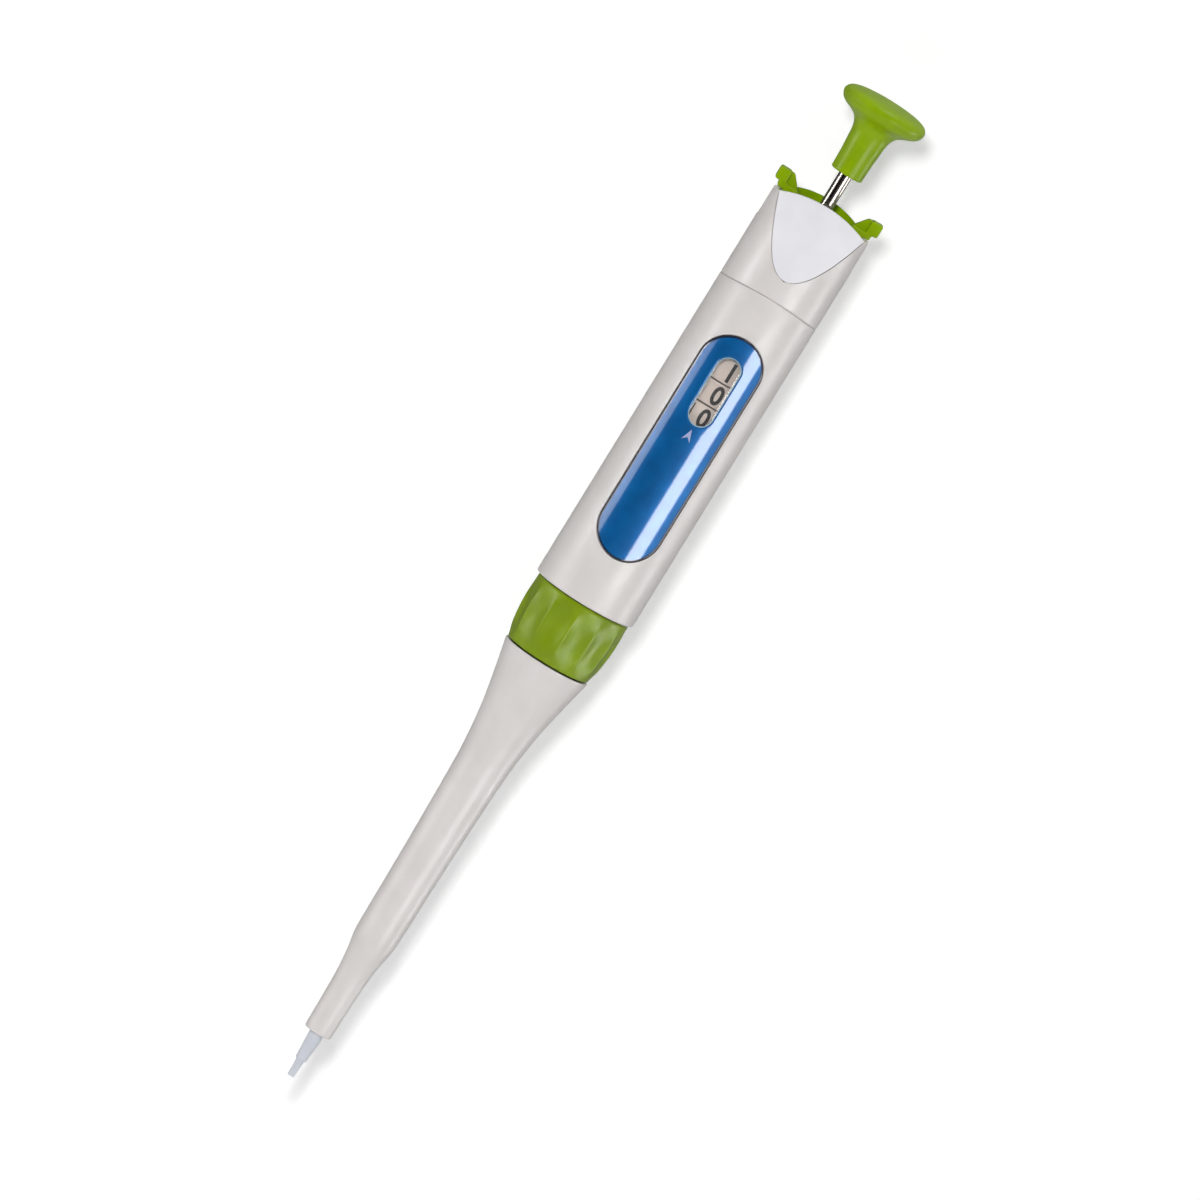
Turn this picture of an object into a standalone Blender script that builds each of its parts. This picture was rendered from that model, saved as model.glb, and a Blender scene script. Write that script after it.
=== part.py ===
"""Adjustable single-channel micropipette, modelled as it comes apart on a bench.

The pipette stands upright: +Z runs from the tip end to the push button, the counter window faces -Y
and the finger rest is on the +Y side. Sizes below are in millimetres, and heights are counted from
the tip end of the nozzle, along the axis of the handle. The empty "handle_axis" carries every piece
and puts the middle of the finger rest's flat underside at the world origin, where a stand holds it.
"""
import math

import bmesh
import bpy
from mathutils import Matrix, Vector

MM = 0.001

# Clearances
SEAT_GAP = 0.3            # between two pieces that rest on each other
RUN_GAP = 0.2             # radial, between a shaft and the bore it turns or slides in
FREE_GAP = 0.45           # radial, between pieces that must never rub

SMALL_CHAMFER = 0.3       # on small turned pieces

# Facets round a full turn
FINE_FACETS = 36
MEDIUM_FACETS = 24
SLIM_FACETS = 20
SMALL_FACETS = 16
DRUM_FACETS = 20          # two for each of the ten digits
RING_FACETS = 6           # round the wire of an O-ring

# Nozzle and tip cone
NUB_LENGTH = 4.05
NUB_RADIUS = 0.75
NUB_ROOT_RADIUS = 0.9
NOZZLE_STEP_RADIUS = 1.24
NOZZLE_LENGTH = 10.8      # what stands out of the ejector sleeve
AIR_RADIUS = 0.35
HOUSING_RADIUS = 4.6      # spring housing above the piston bore
HOUSING_WALL = 0.8
HOUSING_RISE = 11.0       # above the flange
FLANGE_THICKNESS = 2.5

# Ejector sleeve: share of its length from the bottom, and outer radius there
SLEEVE_LENGTH = 92.1
SLEEVE_WALL = 1.0
SLEEVE_OUTLINE = [
    (0.0, 3.07), (0.10, 3.24), (0.155, 3.45), (0.20, 3.9), (0.247, 4.6), (0.30, 4.76),
    (0.475, 5.0), (0.68, 5.5), (0.762, 6.0), (0.842, 6.9), (0.923, 8.35), (1.0, 9.9),
]
COLLAR_THICKNESS = 2.4
COLLAR_DROP = 0.4         # below the sleeve's top edge

# Grip nut
NUT_LENGTH = 14.6
NUT_TOP_INSET = 0.8       # of its outer radius at the top, from the handle's
NUT_BELLY_INSET = 0.65
NUT_BOTTOM_INSET = 1.9
NUT_BELLY_SHARE = 0.6     # of the nut's length, up from its bottom
NUT_WAIST_SHARE = 0.25
NUT_WAIST_BULGE = 0.15
NUT_RIM = 0.5             # height of the rounding at each end
NUT_RIM_INSET = 0.35
NUT_LIP_WIDTH = 1.1
NUT_LIP_THICKNESS = 1.0
FLUTE_COUNT = 12
FLUTE_LENGTH = 12.4
FLUTE_WIDTH = 3.5
FLUTE_DEPTH = 0.75
FLUTE_MIDDLE_SHARE = 0.49
FLUTE_SINK = 0.35         # of the flutes' middles below the nut's belly
FLUTE_GROW = (1.15, 1.3, 1.12)    # of each lens form in depth, width and length

# Handle shell
HANDLE_RADIUS = 11.6
HANDLE_WALL = 1.4
BODY_LENGTH = 73.2
EDGE_ROUND = 0.5
TOP_CHAMFER = 0.2
SPIGOT_STEP = 2.8         # from the handle's outside down to the spigot's
SPIGOT_WALL = 1.0
FLOOR_THICKNESS = 1.4
LEDGE_HEIGHT = 8.5        # of the ledge that carries the spring seat, above the shell's bottom
LEDGE_WIDTH = 0.55

# Blue panel and window in the front of the handle
PANEL_WIDTH = 14.06
PANEL_LENGTH = 53.1
PANEL_DROP = 34.95        # of its centre below the shell's top
PANEL_THICKNESS = 0.75
PANEL_PROUD = 0.1
WINDOW_WIDTH = 5.6
WINDOW_LENGTH = 16.2
WINDOW_RISE = 13.85       # of the window's centre above the panel's centre
LENS_THICKNESS = 0.6

# Finger rest
REST_REACH = 13.0         # beyond the shell
REST_WIDTH = 9.0
REST_DROP = 9.2           # of its flat underside below the shell's top
REST_THICKNESS = 6.0
REST_ROUND = 0.8
REST_WEB = 6.0            # height against the handle of the web under the rest
REST_WEB_LINE = [(0.5, 3.4), (1.2, 1.2), (2.4, 0.0)]    # beyond the handle, below the underside

# Head
HEAD_LENGTH = 20.8
HEAD_SPIGOT_LENGTH = 4.6
HEAD_RIM_LINE = [(0.55, 0.12), (0.0, 0.5)]    # inset from the handle's radius, drop below the rim
BULKHEAD_RISE = 0.3       # above the head's bottom edge
BULKHEAD_THICKNESS = 2.0
SCOOP_BOTTOM = 5.9        # above the head's bottom edge
SCOOP_RISE = 15.2         # height of the curved part of the scoop
SCOOP_SHARE = 0.886       # of the handle's radius, in the scoop's half width at its top
SCOOP_WALL = 1.0
SCOOP_ARCH_RADIUS = 26.3  # of the top edge, seen from the front
SCOOP_TOP_RISE = 2.2      # of the arch above the head's rim

# Push button and rod
BUTTON_RISE = 9.7         # of the button's bottom above the head's rim
BUTTON_HEIGHT = 17.8
BUTTON_OUTLINE = [
    (3.6, 0.0), (3.66, 0.26), (4.0, 0.47), (4.6, 0.6), (5.75, 0.67), (8.4, 0.755),
    (9.69, 0.86), (8.9, 0.945), (6.6, 0.99), (3.2, 1.0),
]
BUTTON_BORE_DEPTH = 10.0
BUTTON_FOOT_RISE = 0.2    # of the small chamfer round the button's foot
ROD_RADIUS = 1.5
ROD_CHAMFER = 0.2

# Strokes
MEASURING_STROKE = 12.0
BLOWOUT_STROKE = 2.8
EJECT_STROKE = 7.0

# Counter
DRUM_TO_ROD = 0.35        # between the drums and the ejector rod
DRUM_PITCH = 5.5
DRUM_WALL = 1.0
DRUM_HUB = 1.0
DRUM_WEB = 1.0
COUNTER_DROP = 0.8        # of the drum stack's centre below the window's centre
DRIVE_SLEEVE_WALL = 1.2
FRAME_WALL = 1.2
FRAME_PLATE = 1.6
FRAME_VIEW_MARGIN = 1.2   # of the frame's opening beside the window
FRAME_ROOM = 0.5          # between the frame's plates and the outer drums

# Volume screw
SPINDLE_LENGTH = 9.0
SPINDLE_FLANGE_WIDTH = 1.3
SPINDLE_FLANGE_THICKNESS = 1.2
SPINDLE_NECK_STEP = 0.6
VOLUME_NUT_INSET = 0.4    # from the drums' radius
VOLUME_NUT_LENGTH = 7.0
VOLUME_NUT_WALL = 2.3
VOLUME_NUT_CHAMFER = 0.4
FRICTION_RING_WIRE = 0.5

# Rod bush
BUSH_RADIUS = 3.0
BUSH_LENGTH = 9.0
BUSH_FLANGE_RADIUS = 4.4
BUSH_FLANGE_THICKNESS = 1.0
BUSH_NECK_STEP = 0.5

# Stops below the counter
STOP_COLLAR_RADIUS = 3.6
STOP_COLLAR_LENGTH = 3.0
STOP_PLATE_INSET = 0.5    # from the drums' radius
STOP_PLATE_THICKNESS = 1.6
BLOWOUT_SPRING_RADIUS = 5.0
BLOWOUT_SPRING_WIRE = 0.45
BLOWOUT_SPRING_TURNS = 4.5
SPRING_SEAT_THICKNESS = 1.2

# Piston
HOLDER_HEAD_RADIUS = 3.4
HOLDER_HEAD_LENGTH = 3.7
HOLDER_STEM_RADIUS = 1.6
HOLDER_STEM_LENGTH = 22.0
HOLDER_DROP = 6.65        # of the holder's top below the stop plate
PISTON_RADIUS = 0.5
PISTON_LENGTH = 47.7
PISTON_SOCKET = 3.7
PISTON_SPRING_RADIUS = 2.9
PISTON_SPRING_WIRE = 0.28
PISTON_SPRING_TURNS = 10
SEAL_HEIGHT = 2.4
SEAL_RETAINER_HEIGHT = 2.2
O_RING_WIRE = 0.5
SEAL_ROOM = 7.7           # between the seal stack and the holder at full stroke
PISTON_BORE_LENGTH = 35.0

# Ejector button, rod and spring
SADDLE_GAP = 0.4          # round the saddle, inside the head
SADDLE_WALL = 1.5
SADDLE_SKIRT = 7.5        # below the head's rim
SADDLE_HOLE = 4.7
SADDLE_PLATE = 3.4        # thickness of the plate at its middle
SADDLE_ARCH_RISE = 2.5    # of the plate's arched top, above the head's rim
SADDLE_ARCH_RADIUS = 25.0
EAR_OVERHANG = 0.8        # beyond the handle's outside
EAR_ROOT_INSET = 0.4
EAR_ROOT_BOTTOM = 0.4     # above the head's rim
EAR_TOP = 4.5             # above the head's rim
EAR_UNDERSIDE = 1.6       # of the overhanging part, above the head's rim
EAR_FLAT = 3.4            # width of the flat top
EAR_SLOPE = 2.0           # width of the slope on the inner side
EAR_SLOPE_RISE = 0.1      # of the slope's foot above the underside
EAR_TAIL_BOTTOM = 0.4     # how far the ear runs into the plate, below
EAR_TAIL_TOP = 0.9        # and above
EAR_TAIL_DROP = 1.2       # of the upper tail below the plate's arched top
EAR_DEPTH = 3.6
EAR_ROUND = 0.3
EJECTOR_ROD_RADIUS = 0.8
ROD_TO_SHELL = 0.85       # between the rod's upper length and the shell's bore
ROD_TO_SPIGOT = 0.4       # and its lower length and the spigot's bore
CRANK_HEIGHT = 3.5
CRANK_RISE = 9.3          # of the crank's lower bend, above the shell's bottom
EJECTOR_SPRING_RADIUS = 1.2
EJECTOR_SPRING_WIRE = 0.17
EJECTOR_SPRING_LENGTH = 14.0
EJECTOR_SPRING_TURNS = 7
LUG_THICKNESS = 1.5
LUG_SIDE = 1.2            # wall beside the rod's hole
LUG_NOSE = 0.4            # and in front of it
SOCKET_SIDE = 0.9         # wall beside the rod's hole in the saddle's socket
SOCKET_SINK = 0.3         # of the socket into the plate above it
ROD_SEAT = 0.6            # the rod's bottom above the collar's
ROD_DROP = 1.8            # the rod's top below the head's rim
CLIP_RADIUS = 1.5
CLIP_THICKNESS = 0.8

# Heights above the tip end that follow from the sizes above
sleeve_bottom = NOZZLE_LENGTH
sleeve_top = sleeve_bottom + SLEEVE_LENGTH
nut_bottom = sleeve_top + SEAT_GAP
nut_top = nut_bottom + NUT_LENGTH
shell_bottom = nut_top + SEAT_GAP
shell_top = shell_bottom + BODY_LENGTH
head_bottom = shell_top + SEAT_GAP
head_top = head_bottom + HEAD_LENGTH
button_bottom = head_top + BUTTON_RISE
button_top = button_bottom + BUTTON_HEIGHT
flange_bottom = nut_bottom + NUT_LIP_THICKNESS + SEAT_GAP
flange_top = flange_bottom + FLANGE_THICKNESS
spigot_bottom = flange_top + SEAT_GAP
ledge = shell_bottom + LEDGE_HEIGHT
panel_centre = shell_top - PANEL_DROP
window_centre = panel_centre + WINDOW_RISE
counter_centre = window_centre - COUNTER_DROP
counter_bottom = counter_centre - 1.5 * DRUM_PITCH
counter_top = counter_centre + 1.5 * DRUM_PITCH
frame_bottom = counter_bottom - FRAME_ROOM - FRAME_PLATE
frame_top = counter_top + FRAME_ROOM + FRAME_PLATE
volume_nut_bottom = frame_top + SEAT_GAP
volume_nut_top = volume_nut_bottom + VOLUME_NUT_LENGTH
spindle_bottom = volume_nut_bottom + 2 * SEAT_GAP
spindle_top = spindle_bottom + SPINDLE_LENGTH
friction_ring_height = volume_nut_top + SEAT_GAP + FRICTION_RING_WIRE
bulkhead_bottom = head_bottom + BULKHEAD_RISE
bulkhead_top = bulkhead_bottom + BULKHEAD_THICKNESS
drive_sleeve_bottom = frame_bottom - FRAME_PLATE
drive_sleeve_top = spindle_bottom - SEAT_GAP
stop_collar_top = drive_sleeve_bottom - SEAT_GAP
stop_collar_bottom = stop_collar_top - STOP_COLLAR_LENGTH
stop_plate_top = stop_collar_bottom - MEASURING_STROKE - SEAT_GAP
stop_plate_bottom = stop_plate_top - STOP_PLATE_THICKNESS
spring_seat_bottom = ledge + SEAT_GAP
spring_seat_top = spring_seat_bottom + SPRING_SEAT_THICKNESS
full_stroke = MEASURING_STROKE + BLOWOUT_STROKE
holder_top = stop_plate_bottom - HOLDER_DROP
holder_shoulder = holder_top - HOLDER_HEAD_LENGTH
holder_bottom = holder_shoulder - HOLDER_STEM_LENGTH
rod_bottom = holder_top + SEAT_GAP
rod_top = button_bottom + BUTTON_BORE_DEPTH - SEAT_GAP
piston_top = holder_bottom + PISTON_SOCKET
piston_bottom = piston_top - PISTON_LENGTH
seal_stack = 3 * SEAT_GAP + 2 * O_RING_WIRE + SEAL_HEIGHT + SEAL_RETAINER_HEIGHT
seal_floor = holder_bottom - full_stroke - SEAL_ROOM - seal_stack
o_ring_height = seal_floor + SEAT_GAP + O_RING_WIRE
seal_bottom = o_ring_height + O_RING_WIRE + SEAT_GAP
seal_top = seal_bottom + SEAL_HEIGHT
retainer_bottom = seal_top + SEAT_GAP
retainer_top = retainer_bottom + SEAL_RETAINER_HEIGHT
collar_top = sleeve_top - COLLAR_DROP
collar_bottom = collar_top - COLLAR_THICKNESS
ejector_rod_bottom = collar_bottom + ROD_SEAT
ejector_rod_top = head_top - ROD_DROP
crank_bottom = shell_bottom + CRANK_RISE
crank_top = crank_bottom + CRANK_HEIGHT
clip_top = frame_bottom - 2 * SEAT_GAP
clip_bottom = clip_top - CLIP_THICKNESS
lug_top = clip_bottom - 2 * SEAT_GAP - EJECTOR_SPRING_LENGTH
lug_bottom = lug_top - LUG_THICKNESS
rest_underside = shell_top - REST_DROP

# Radii that follow
handle_bore = HANDLE_RADIUS - HANDLE_WALL
spigot_radius = HANDLE_RADIUS - SPIGOT_STEP
spigot_bore = spigot_radius - SPIGOT_WALL
flange_radius = spigot_radius - RUN_GAP
nut_top_radius = HANDLE_RADIUS - NUT_TOP_INSET
nut_belly_radius = HANDLE_RADIUS - NUT_BELLY_INSET
nut_bottom_radius = HANDLE_RADIUS - NUT_BOTTOM_INSET
nut_bore = spigot_radius + SEAT_GAP
nut_lip_bore = nut_bore - NUT_LIP_WIDTH
housing_bore = HOUSING_RADIUS - HOUSING_WALL
drive_sleeve_bore = ROD_RADIUS + RUN_GAP
drive_sleeve_radius = drive_sleeve_bore + DRIVE_SLEEVE_WALL
drum_bore = drive_sleeve_radius + RUN_GAP
fitted_radius = handle_bore - SEAT_GAP
rod_hole = EJECTOR_ROD_RADIUS + SEAT_GAP
ejector_rod_upper = handle_bore - ROD_TO_SHELL - EJECTOR_ROD_RADIUS
ejector_rod_lower = spigot_bore - ROD_TO_SPIGOT - EJECTOR_ROD_RADIUS
drum_radius = ejector_rod_upper - EJECTOR_ROD_RADIUS - DRUM_TO_ROD
volume_nut_radius = drum_radius - VOLUME_NUT_INSET
spindle_radius = volume_nut_radius - VOLUME_NUT_WALL - RUN_GAP
spindle_flange_radius = spindle_radius + SPINDLE_FLANGE_WIDTH
stop_plate_radius = drum_radius - STOP_PLATE_INSET
saddle_radius = handle_bore - SADDLE_GAP
ear_reach = HANDLE_RADIUS + EAR_OVERHANG
ear_root_reach = HANDLE_RADIUS - EAR_ROOT_INSET
scoop_half_width = SCOOP_SHARE * HANDLE_RADIUS
rest_middle = HANDLE_RADIUS + 0.5 * REST_REACH

# Room that cutters reach past the surfaces they cut
OVER = 2.0

PART_COLLECTION = "micropipette"
CUTTER_COLLECTION = "micropipette_cutters"


def empty_scene():
    """Remove what the file holds and make the two collections."""
    for old in list(bpy.data.objects):
        bpy.data.objects.remove(old, do_unlink=True)
    for name in (PART_COLLECTION, CUTTER_COLLECTION):
        group = bpy.data.collections.get(name) or bpy.data.collections.new(name)
        if name not in bpy.context.scene.collection.children:
            bpy.context.scene.collection.children.link(group)


def linear(hex_colour):
    """Turn an sRGB hex colour into the linear values that Blender stores."""
    values = [int(hex_colour[i:i + 2], 16) / 255 for i in (1, 3, 5)]
    return [v / 12.92 if v <= 0.04045 else ((v + 0.055) / 1.055) ** 2.4 for v in values] + [1.0]


def material(name, hex_colour, roughness, metallic=0.0):
    """A plain material with the piece's own colour, roughness and metallic value."""
    made = bpy.data.materials.get(name)
    if made:
        return made
    made = bpy.data.materials.new(name)
    made.use_nodes = True
    shader = made.node_tree.nodes["Principled BSDF"]
    shader.inputs["Base Color"].default_value = linear(hex_colour)
    shader.inputs["Roughness"].default_value = roughness
    shader.inputs["Metallic"].default_value = metallic
    made.diffuse_color = linear(hex_colour)
    return made


def shell_plastic():
    return material("pearl_grey_plastic", "#D6D2D0", 0.32)


def green_plastic():
    return material("green_plastic", "#84A510", 0.35)


def nut_plastic():
    return material("olive_green_plastic", "#7E9A12", 0.45)


def steel():
    return material("polished_steel", "#C8C8CA", 0.2, 1.0)


def brass():
    return material("brass", "#B8963E", 0.3, 1.0)


def spring_steel():
    return material("spring_steel", "#A9AAAD", 0.3, 1.0)


def inner_plastic():
    return material("dark_grey_plastic", "#3A3C40", 0.5)


def cone_plastic():
    return material("natural_fluoroplastic", "#DCE6EE", 0.35)


def seal_rubber():
    return material("black_rubber", "#1E1E20", 0.7)


def link(made, cutter=False):
    """Hang an object on the handle's axis, in the collection it belongs to."""
    group = CUTTER_COLLECTION if cutter else PART_COLLECTION
    bpy.data.collections[group].objects.link(made)
    made.parent = bpy.data.objects["handle_axis"]
    if cutter:
        made.hide_render = True
        made.display_type = "WIRE"
    return made


def mesh_object(name, mesh, finish=None, location=(0, 0, 0)):
    """An object from a mesh: a piece if it has a finish, else a cutter."""
    made = bpy.data.objects.new(name, mesh)
    made.location = Vector(location) * MM
    if finish:
        made.data.materials.append(finish)
    return link(made, cutter=finish is None)


def turned(name, outline, steps, finish=None, location=(0, 0, 0)):
    """Turn an outline of (radius, height) points round Z.

    It runs down the outer side from the top. An outline that starts off the axis is closed into a ring.
    """
    mesh = bpy.data.meshes.new(name)
    points = [(radius * MM, 0, height * MM) for radius, height in outline]
    edges = [(i, i + 1) for i in range(len(points) - 1)]
    if outline[0][0] > 0:
        edges.append((len(points) - 1, 0))
    mesh.from_pydata(points, edges, [])
    made = mesh_object(name, mesh, finish, location)
    screw = made.modifiers.new("Turn", "SCREW")
    screw.axis = "Z"
    screw.steps = steps
    screw.render_steps = steps
    screw.use_merge_vertices = True
    screw.merge_threshold = 0.00001
    return made


def ring_outline(outer, inner, bottom, top):
    return [(outer, top), (outer, bottom), (inner, bottom), (inner, top)]


def rod_outline(radius, bottom, top, chamfer=0.0):
    """A solid round bar, with a small chamfer at each end if one is given."""
    if not chamfer:
        return [(0, top), (radius, top), (radius, bottom), (0, bottom)]
    return [
        (0, top), (radius - chamfer, top), (radius, top - chamfer),
        (radius, bottom + chamfer), (radius - chamfer, bottom), (0, bottom),
    ]


def bored_outline(outer, bore, bottom, top, chamfer):
    """A ring whose outer edges are chamfered."""
    return [
        (outer - chamfer, top), (outer, top - chamfer), (outer, bottom + chamfer),
        (outer - chamfer, bottom), (bore, bottom), (bore, top),
    ]


def smooth_line(keys, per_span):
    """Points on a smooth curve through the key points, with the ends kept."""
    path = [Vector(k) for k in keys]
    path = [2 * path[0] - path[1]] + path + [2 * path[-1] - path[-2]]
    points = []
    for a, b, c, d in zip(path, path[1:], path[2:], path[3:]):
        for step in range(per_span):
            t = step / per_span
            points.append(0.5 * (2 * b + (c - a) * t + (2 * a - 5 * b + 4 * c - d) * t ** 2
                                 + (3 * b - a - 3 * c + d) * t ** 3))
    points.append(path[-2])
    return [tuple(p) for p in points]


def value_at(keys, share):
    """The value of a list of (share, value) keys at one share, on straight lines between them."""
    for (low, first), (high, last) in zip(keys, keys[1:]):
        if share <= high:
            return first + (last - first) * (share - low) / (high - low)
    return keys[-1][1]


def block(name, low, high):
    """A cutter box between two corners."""
    mesh = bpy.data.meshes.new(name)
    work = bmesh.new()
    bmesh.ops.create_cube(work, size=1.0)
    size = [(b - a) * MM for a, b in zip(low, high)]
    middle = [(b + a) * 0.5 * MM for a, b in zip(low, high)]
    bmesh.ops.scale(work, verts=work.verts, vec=size)
    bmesh.ops.translate(work, verts=work.verts, vec=middle)
    work.to_mesh(mesh)
    work.free()
    return mesh_object(name, mesh)


def cross_cylinder(name, radius, height, length, segments=96):
    """A cutter cylinder that lies along Y, with its centre line at the given height."""
    mesh = bpy.data.meshes.new(name)
    work = bmesh.new()
    bmesh.ops.create_cone(work, cap_ends=True, segments=segments, radius1=radius * MM,
                          radius2=radius * MM, depth=length * MM,
                          matrix=Matrix.Translation((0, 0, height * MM))
                          @ Matrix.Rotation(math.pi / 2, 4, "X"))
    work.to_mesh(mesh)
    work.free()
    return mesh_object(name, mesh)


def flat_shape(name, outline, depth, facing, finish=None, edge_round=0.0, shift=0.0):
    """A flat outline given thickness.

    facing "Y" reads the outline as (x, z) seen from the front, and facing "X" reads it as (y, z) seen from
    the side. shift moves the middle of the thickness along that axis. edge_round rounds the rim inwards.
    """
    curve = bpy.data.curves.new(name, "CURVE")
    curve.dimensions = "2D"
    curve.fill_mode = "BOTH"
    curve.extrude = (0.5 * depth - edge_round) * MM
    curve.bevel_depth = edge_round * MM
    curve.bevel_resolution = 1 if edge_round else 0
    curve.offset = -edge_round * MM
    spline = curve.splines.new("POLY")
    spline.points.add(len(outline) - 1)
    for point, (across, height) in zip(spline.points, outline):
        point.co = (across * MM, height * MM, 0, 1)
    spline.use_cyclic_u = True
    upright = Matrix.Rotation(math.pi / 2, 4, "X")
    if facing == "X":
        upright = Matrix.Rotation(math.pi / 2, 4, "Z") @ upright
        place = Matrix.Translation((shift * MM, 0, 0))
    else:
        place = Matrix.Translation((0, shift * MM, 0))
    return curve_as_mesh(name, curve, place @ upright, finish)


def curve_as_mesh(name, curve, matrix, finish=None):
    """Make a curve a closed mesh: its loose caps are welded to its sides."""
    drawn = bpy.data.objects.new(name + "_curve", curve)
    bpy.context.scene.collection.objects.link(drawn)
    bpy.context.view_layer.update()
    seen = drawn.evaluated_get(bpy.context.evaluated_depsgraph_get())
    mesh = bpy.data.meshes.new_from_object(seen)
    mesh.name = name
    mesh.materials.clear()
    work = bmesh.new()
    work.from_mesh(mesh)
    bmesh.ops.remove_doubles(work, verts=work.verts, dist=0.000001)
    bmesh.ops.transform(work, matrix=matrix, verts=work.verts)
    bmesh.ops.recalc_face_normals(work, faces=work.faces)
    work.to_mesh(mesh)
    work.free()
    bpy.data.objects.remove(drawn, do_unlink=True)
    return mesh_object(name, mesh, finish)


def wire(name, points, radius, finish, sides_step=2):
    """A round wire along a list of points in millimetres."""
    curve = bpy.data.curves.new(name, "CURVE")
    curve.dimensions = "3D"
    curve.bevel_depth = radius * MM
    curve.bevel_resolution = sides_step
    curve.use_fill_caps = True
    spline = curve.splines.new("POLY")
    spline.points.add(len(points) - 1)
    for point, place in zip(spline.points, points):
        point.co = (*(Vector(place) * MM), 1)
    return curve_as_mesh(name, curve, Matrix.Identity(4), finish)


def coil(name, radius, wire_radius, bottom, top, turns, per_turn, finish, centre_y=0.0):
    """A compression spring with closed end turns, between two faces."""
    low = bottom + wire_radius
    high = top - wire_radius
    closed = 1.0
    pitch = 2.2 * wire_radius
    turns = min(turns, (high - low) / pitch)
    free = (high - low - 2 * closed * pitch) / (turns - 2 * closed)
    count = int(turns * per_turn)
    points = []
    for i in range(count + 1):
        turn = i / per_turn
        if turn < closed:
            height = low + pitch * turn
        elif turn > turns - closed:
            height = high - pitch * (turns - turn)
        else:
            height = low + pitch * closed + free * (turn - closed)
        angle = 2 * math.pi * turn
        points.append((radius * math.cos(angle), centre_y + radius * math.sin(angle), height))
    return wire(name, points, wire_radius, finish)


def o_ring(name, radius, wire_radius, height, steps, finish):
    """An O-ring, turned from a circle of a few points."""
    outline = []
    for i in range(RING_FACETS):
        angle = 2 * math.pi * (0.5 - i) / RING_FACETS
        outline.append((radius + wire_radius * math.cos(angle), height + wire_radius * math.sin(angle)))
    return turned(name, outline, steps, finish)


def boolean(target, other, operation):
    step = target.modifiers.new(operation.title(), "BOOLEAN")
    step.operation = operation
    step.object = other
    step.solver = "EXACT"
    return target


def cut(target, *cutters):
    for cutter in cutters:
        boolean(target, cutter, "DIFFERENCE")
    return target


def joined(target, *additions):
    for addition in additions:
        boolean(target, addition, "UNION")
    return target


def kept_inside(target, *limits):
    for limit in limits:
        boolean(target, limit, "INTERSECT")
    return target


def stadium(width, length, centre, points_per_end=12):
    """An upright outline with half-round ends, as (x, z)."""
    radius = 0.5 * width
    straight = 0.5 * length - radius
    outline = []
    for sign in (1, -1):
        for i in range(points_per_end + 1):
            angle = math.pi * i / points_per_end
            outline.append((sign * radius * math.cos(angle),
                            centre + sign * (straight + radius * math.sin(angle))))
    return outline


def front_prism(name, outline):
    """A cutter through the front wall of the handle only."""
    depth = HANDLE_RADIUS + OVER - 0.5 * handle_bore
    return flat_shape(name, outline, depth, "Y", shift=-(0.5 * handle_bore + 0.5 * depth))


def make_body_shell():
    """The long handle shell, with the spigot for the grip nut and the finger rest moulded on."""
    floor_top = shell_bottom + FLOOR_THICKNESS
    ledge_bore = handle_bore - LEDGE_WIDTH
    outline = [
        (HANDLE_RADIUS - TOP_CHAMFER, shell_top), (HANDLE_RADIUS, shell_top - TOP_CHAMFER),
        (HANDLE_RADIUS, shell_bottom + EDGE_ROUND),
        (HANDLE_RADIUS - 0.3 * EDGE_ROUND, shell_bottom + 0.3 * EDGE_ROUND),
        (HANDLE_RADIUS - EDGE_ROUND, shell_bottom), (spigot_radius, shell_bottom),
        (spigot_radius, spigot_bottom), (spigot_bore, spigot_bottom), (spigot_bore, floor_top),
        (ledge_bore, floor_top), (ledge_bore, ledge), (handle_bore, ledge), (handle_bore, shell_top),
    ]
    shell = turned("body_shell", outline, FINE_FACETS, shell_plastic())
    joined(shell, finger_rest_shape(), lug_shape())
    pocket_floor = HANDLE_RADIUS + PANEL_PROUD - PANEL_THICKNESS - SEAT_GAP
    pocket = turned("panel_pocket",
                    ring_outline(HANDLE_RADIUS + OVER, pocket_floor, shell_bottom, shell_top), FINE_FACETS)
    kept_inside(pocket, front_prism("panel_pocket_edge", stadium(
        PANEL_WIDTH + 2 * RUN_GAP, PANEL_LENGTH + 2 * RUN_GAP, panel_centre)))
    view = front_prism("counter_opening", stadium(
        WINDOW_WIDTH + 2 * SEAT_GAP, WINDOW_LENGTH + 2 * SEAT_GAP, window_centre))
    cut(shell, pocket, view)
    cut(shell, turned("lug_bore", rod_outline(rod_hole, lug_bottom - OVER, lug_top + OVER), SMALL_FACETS,
                      location=(0, ejector_rod_upper, 0)))
    return shell


def finger_rest_shape():
    """The rest behind the handle: a flat underside for the stand, and a rounded lip."""
    inner = HANDLE_RADIUS - 0.5 * HANDLE_WALL
    tip = HANDLE_RADIUS + REST_REACH
    low = rest_underside
    high = low + REST_THICKNESS
    lip = 0.35 * REST_THICKNESS
    lip_centre = (tip - lip, low + lip)
    outline = [(inner, low - REST_WEB)]
    outline += [(HANDLE_RADIUS + out, low - drop) for out, drop in REST_WEB_LINE]
    for i in range(7):
        angle = math.radians(-90 + 25 * i)
        outline.append((lip_centre[0] + lip * math.cos(angle), lip_centre[1] + lip * math.sin(angle)))
    outline += [(HANDLE_RADIUS + 0.55 * REST_REACH, high - 0.25 * REST_THICKNESS),
                (HANDLE_RADIUS + 0.25 * REST_REACH, high + 0.05 * REST_THICKNESS),
                (inner, high + 0.3 * REST_THICKNESS)]
    return flat_shape("finger_rest_form", outline, REST_WIDTH, "X", edge_round=REST_ROUND)


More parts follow.
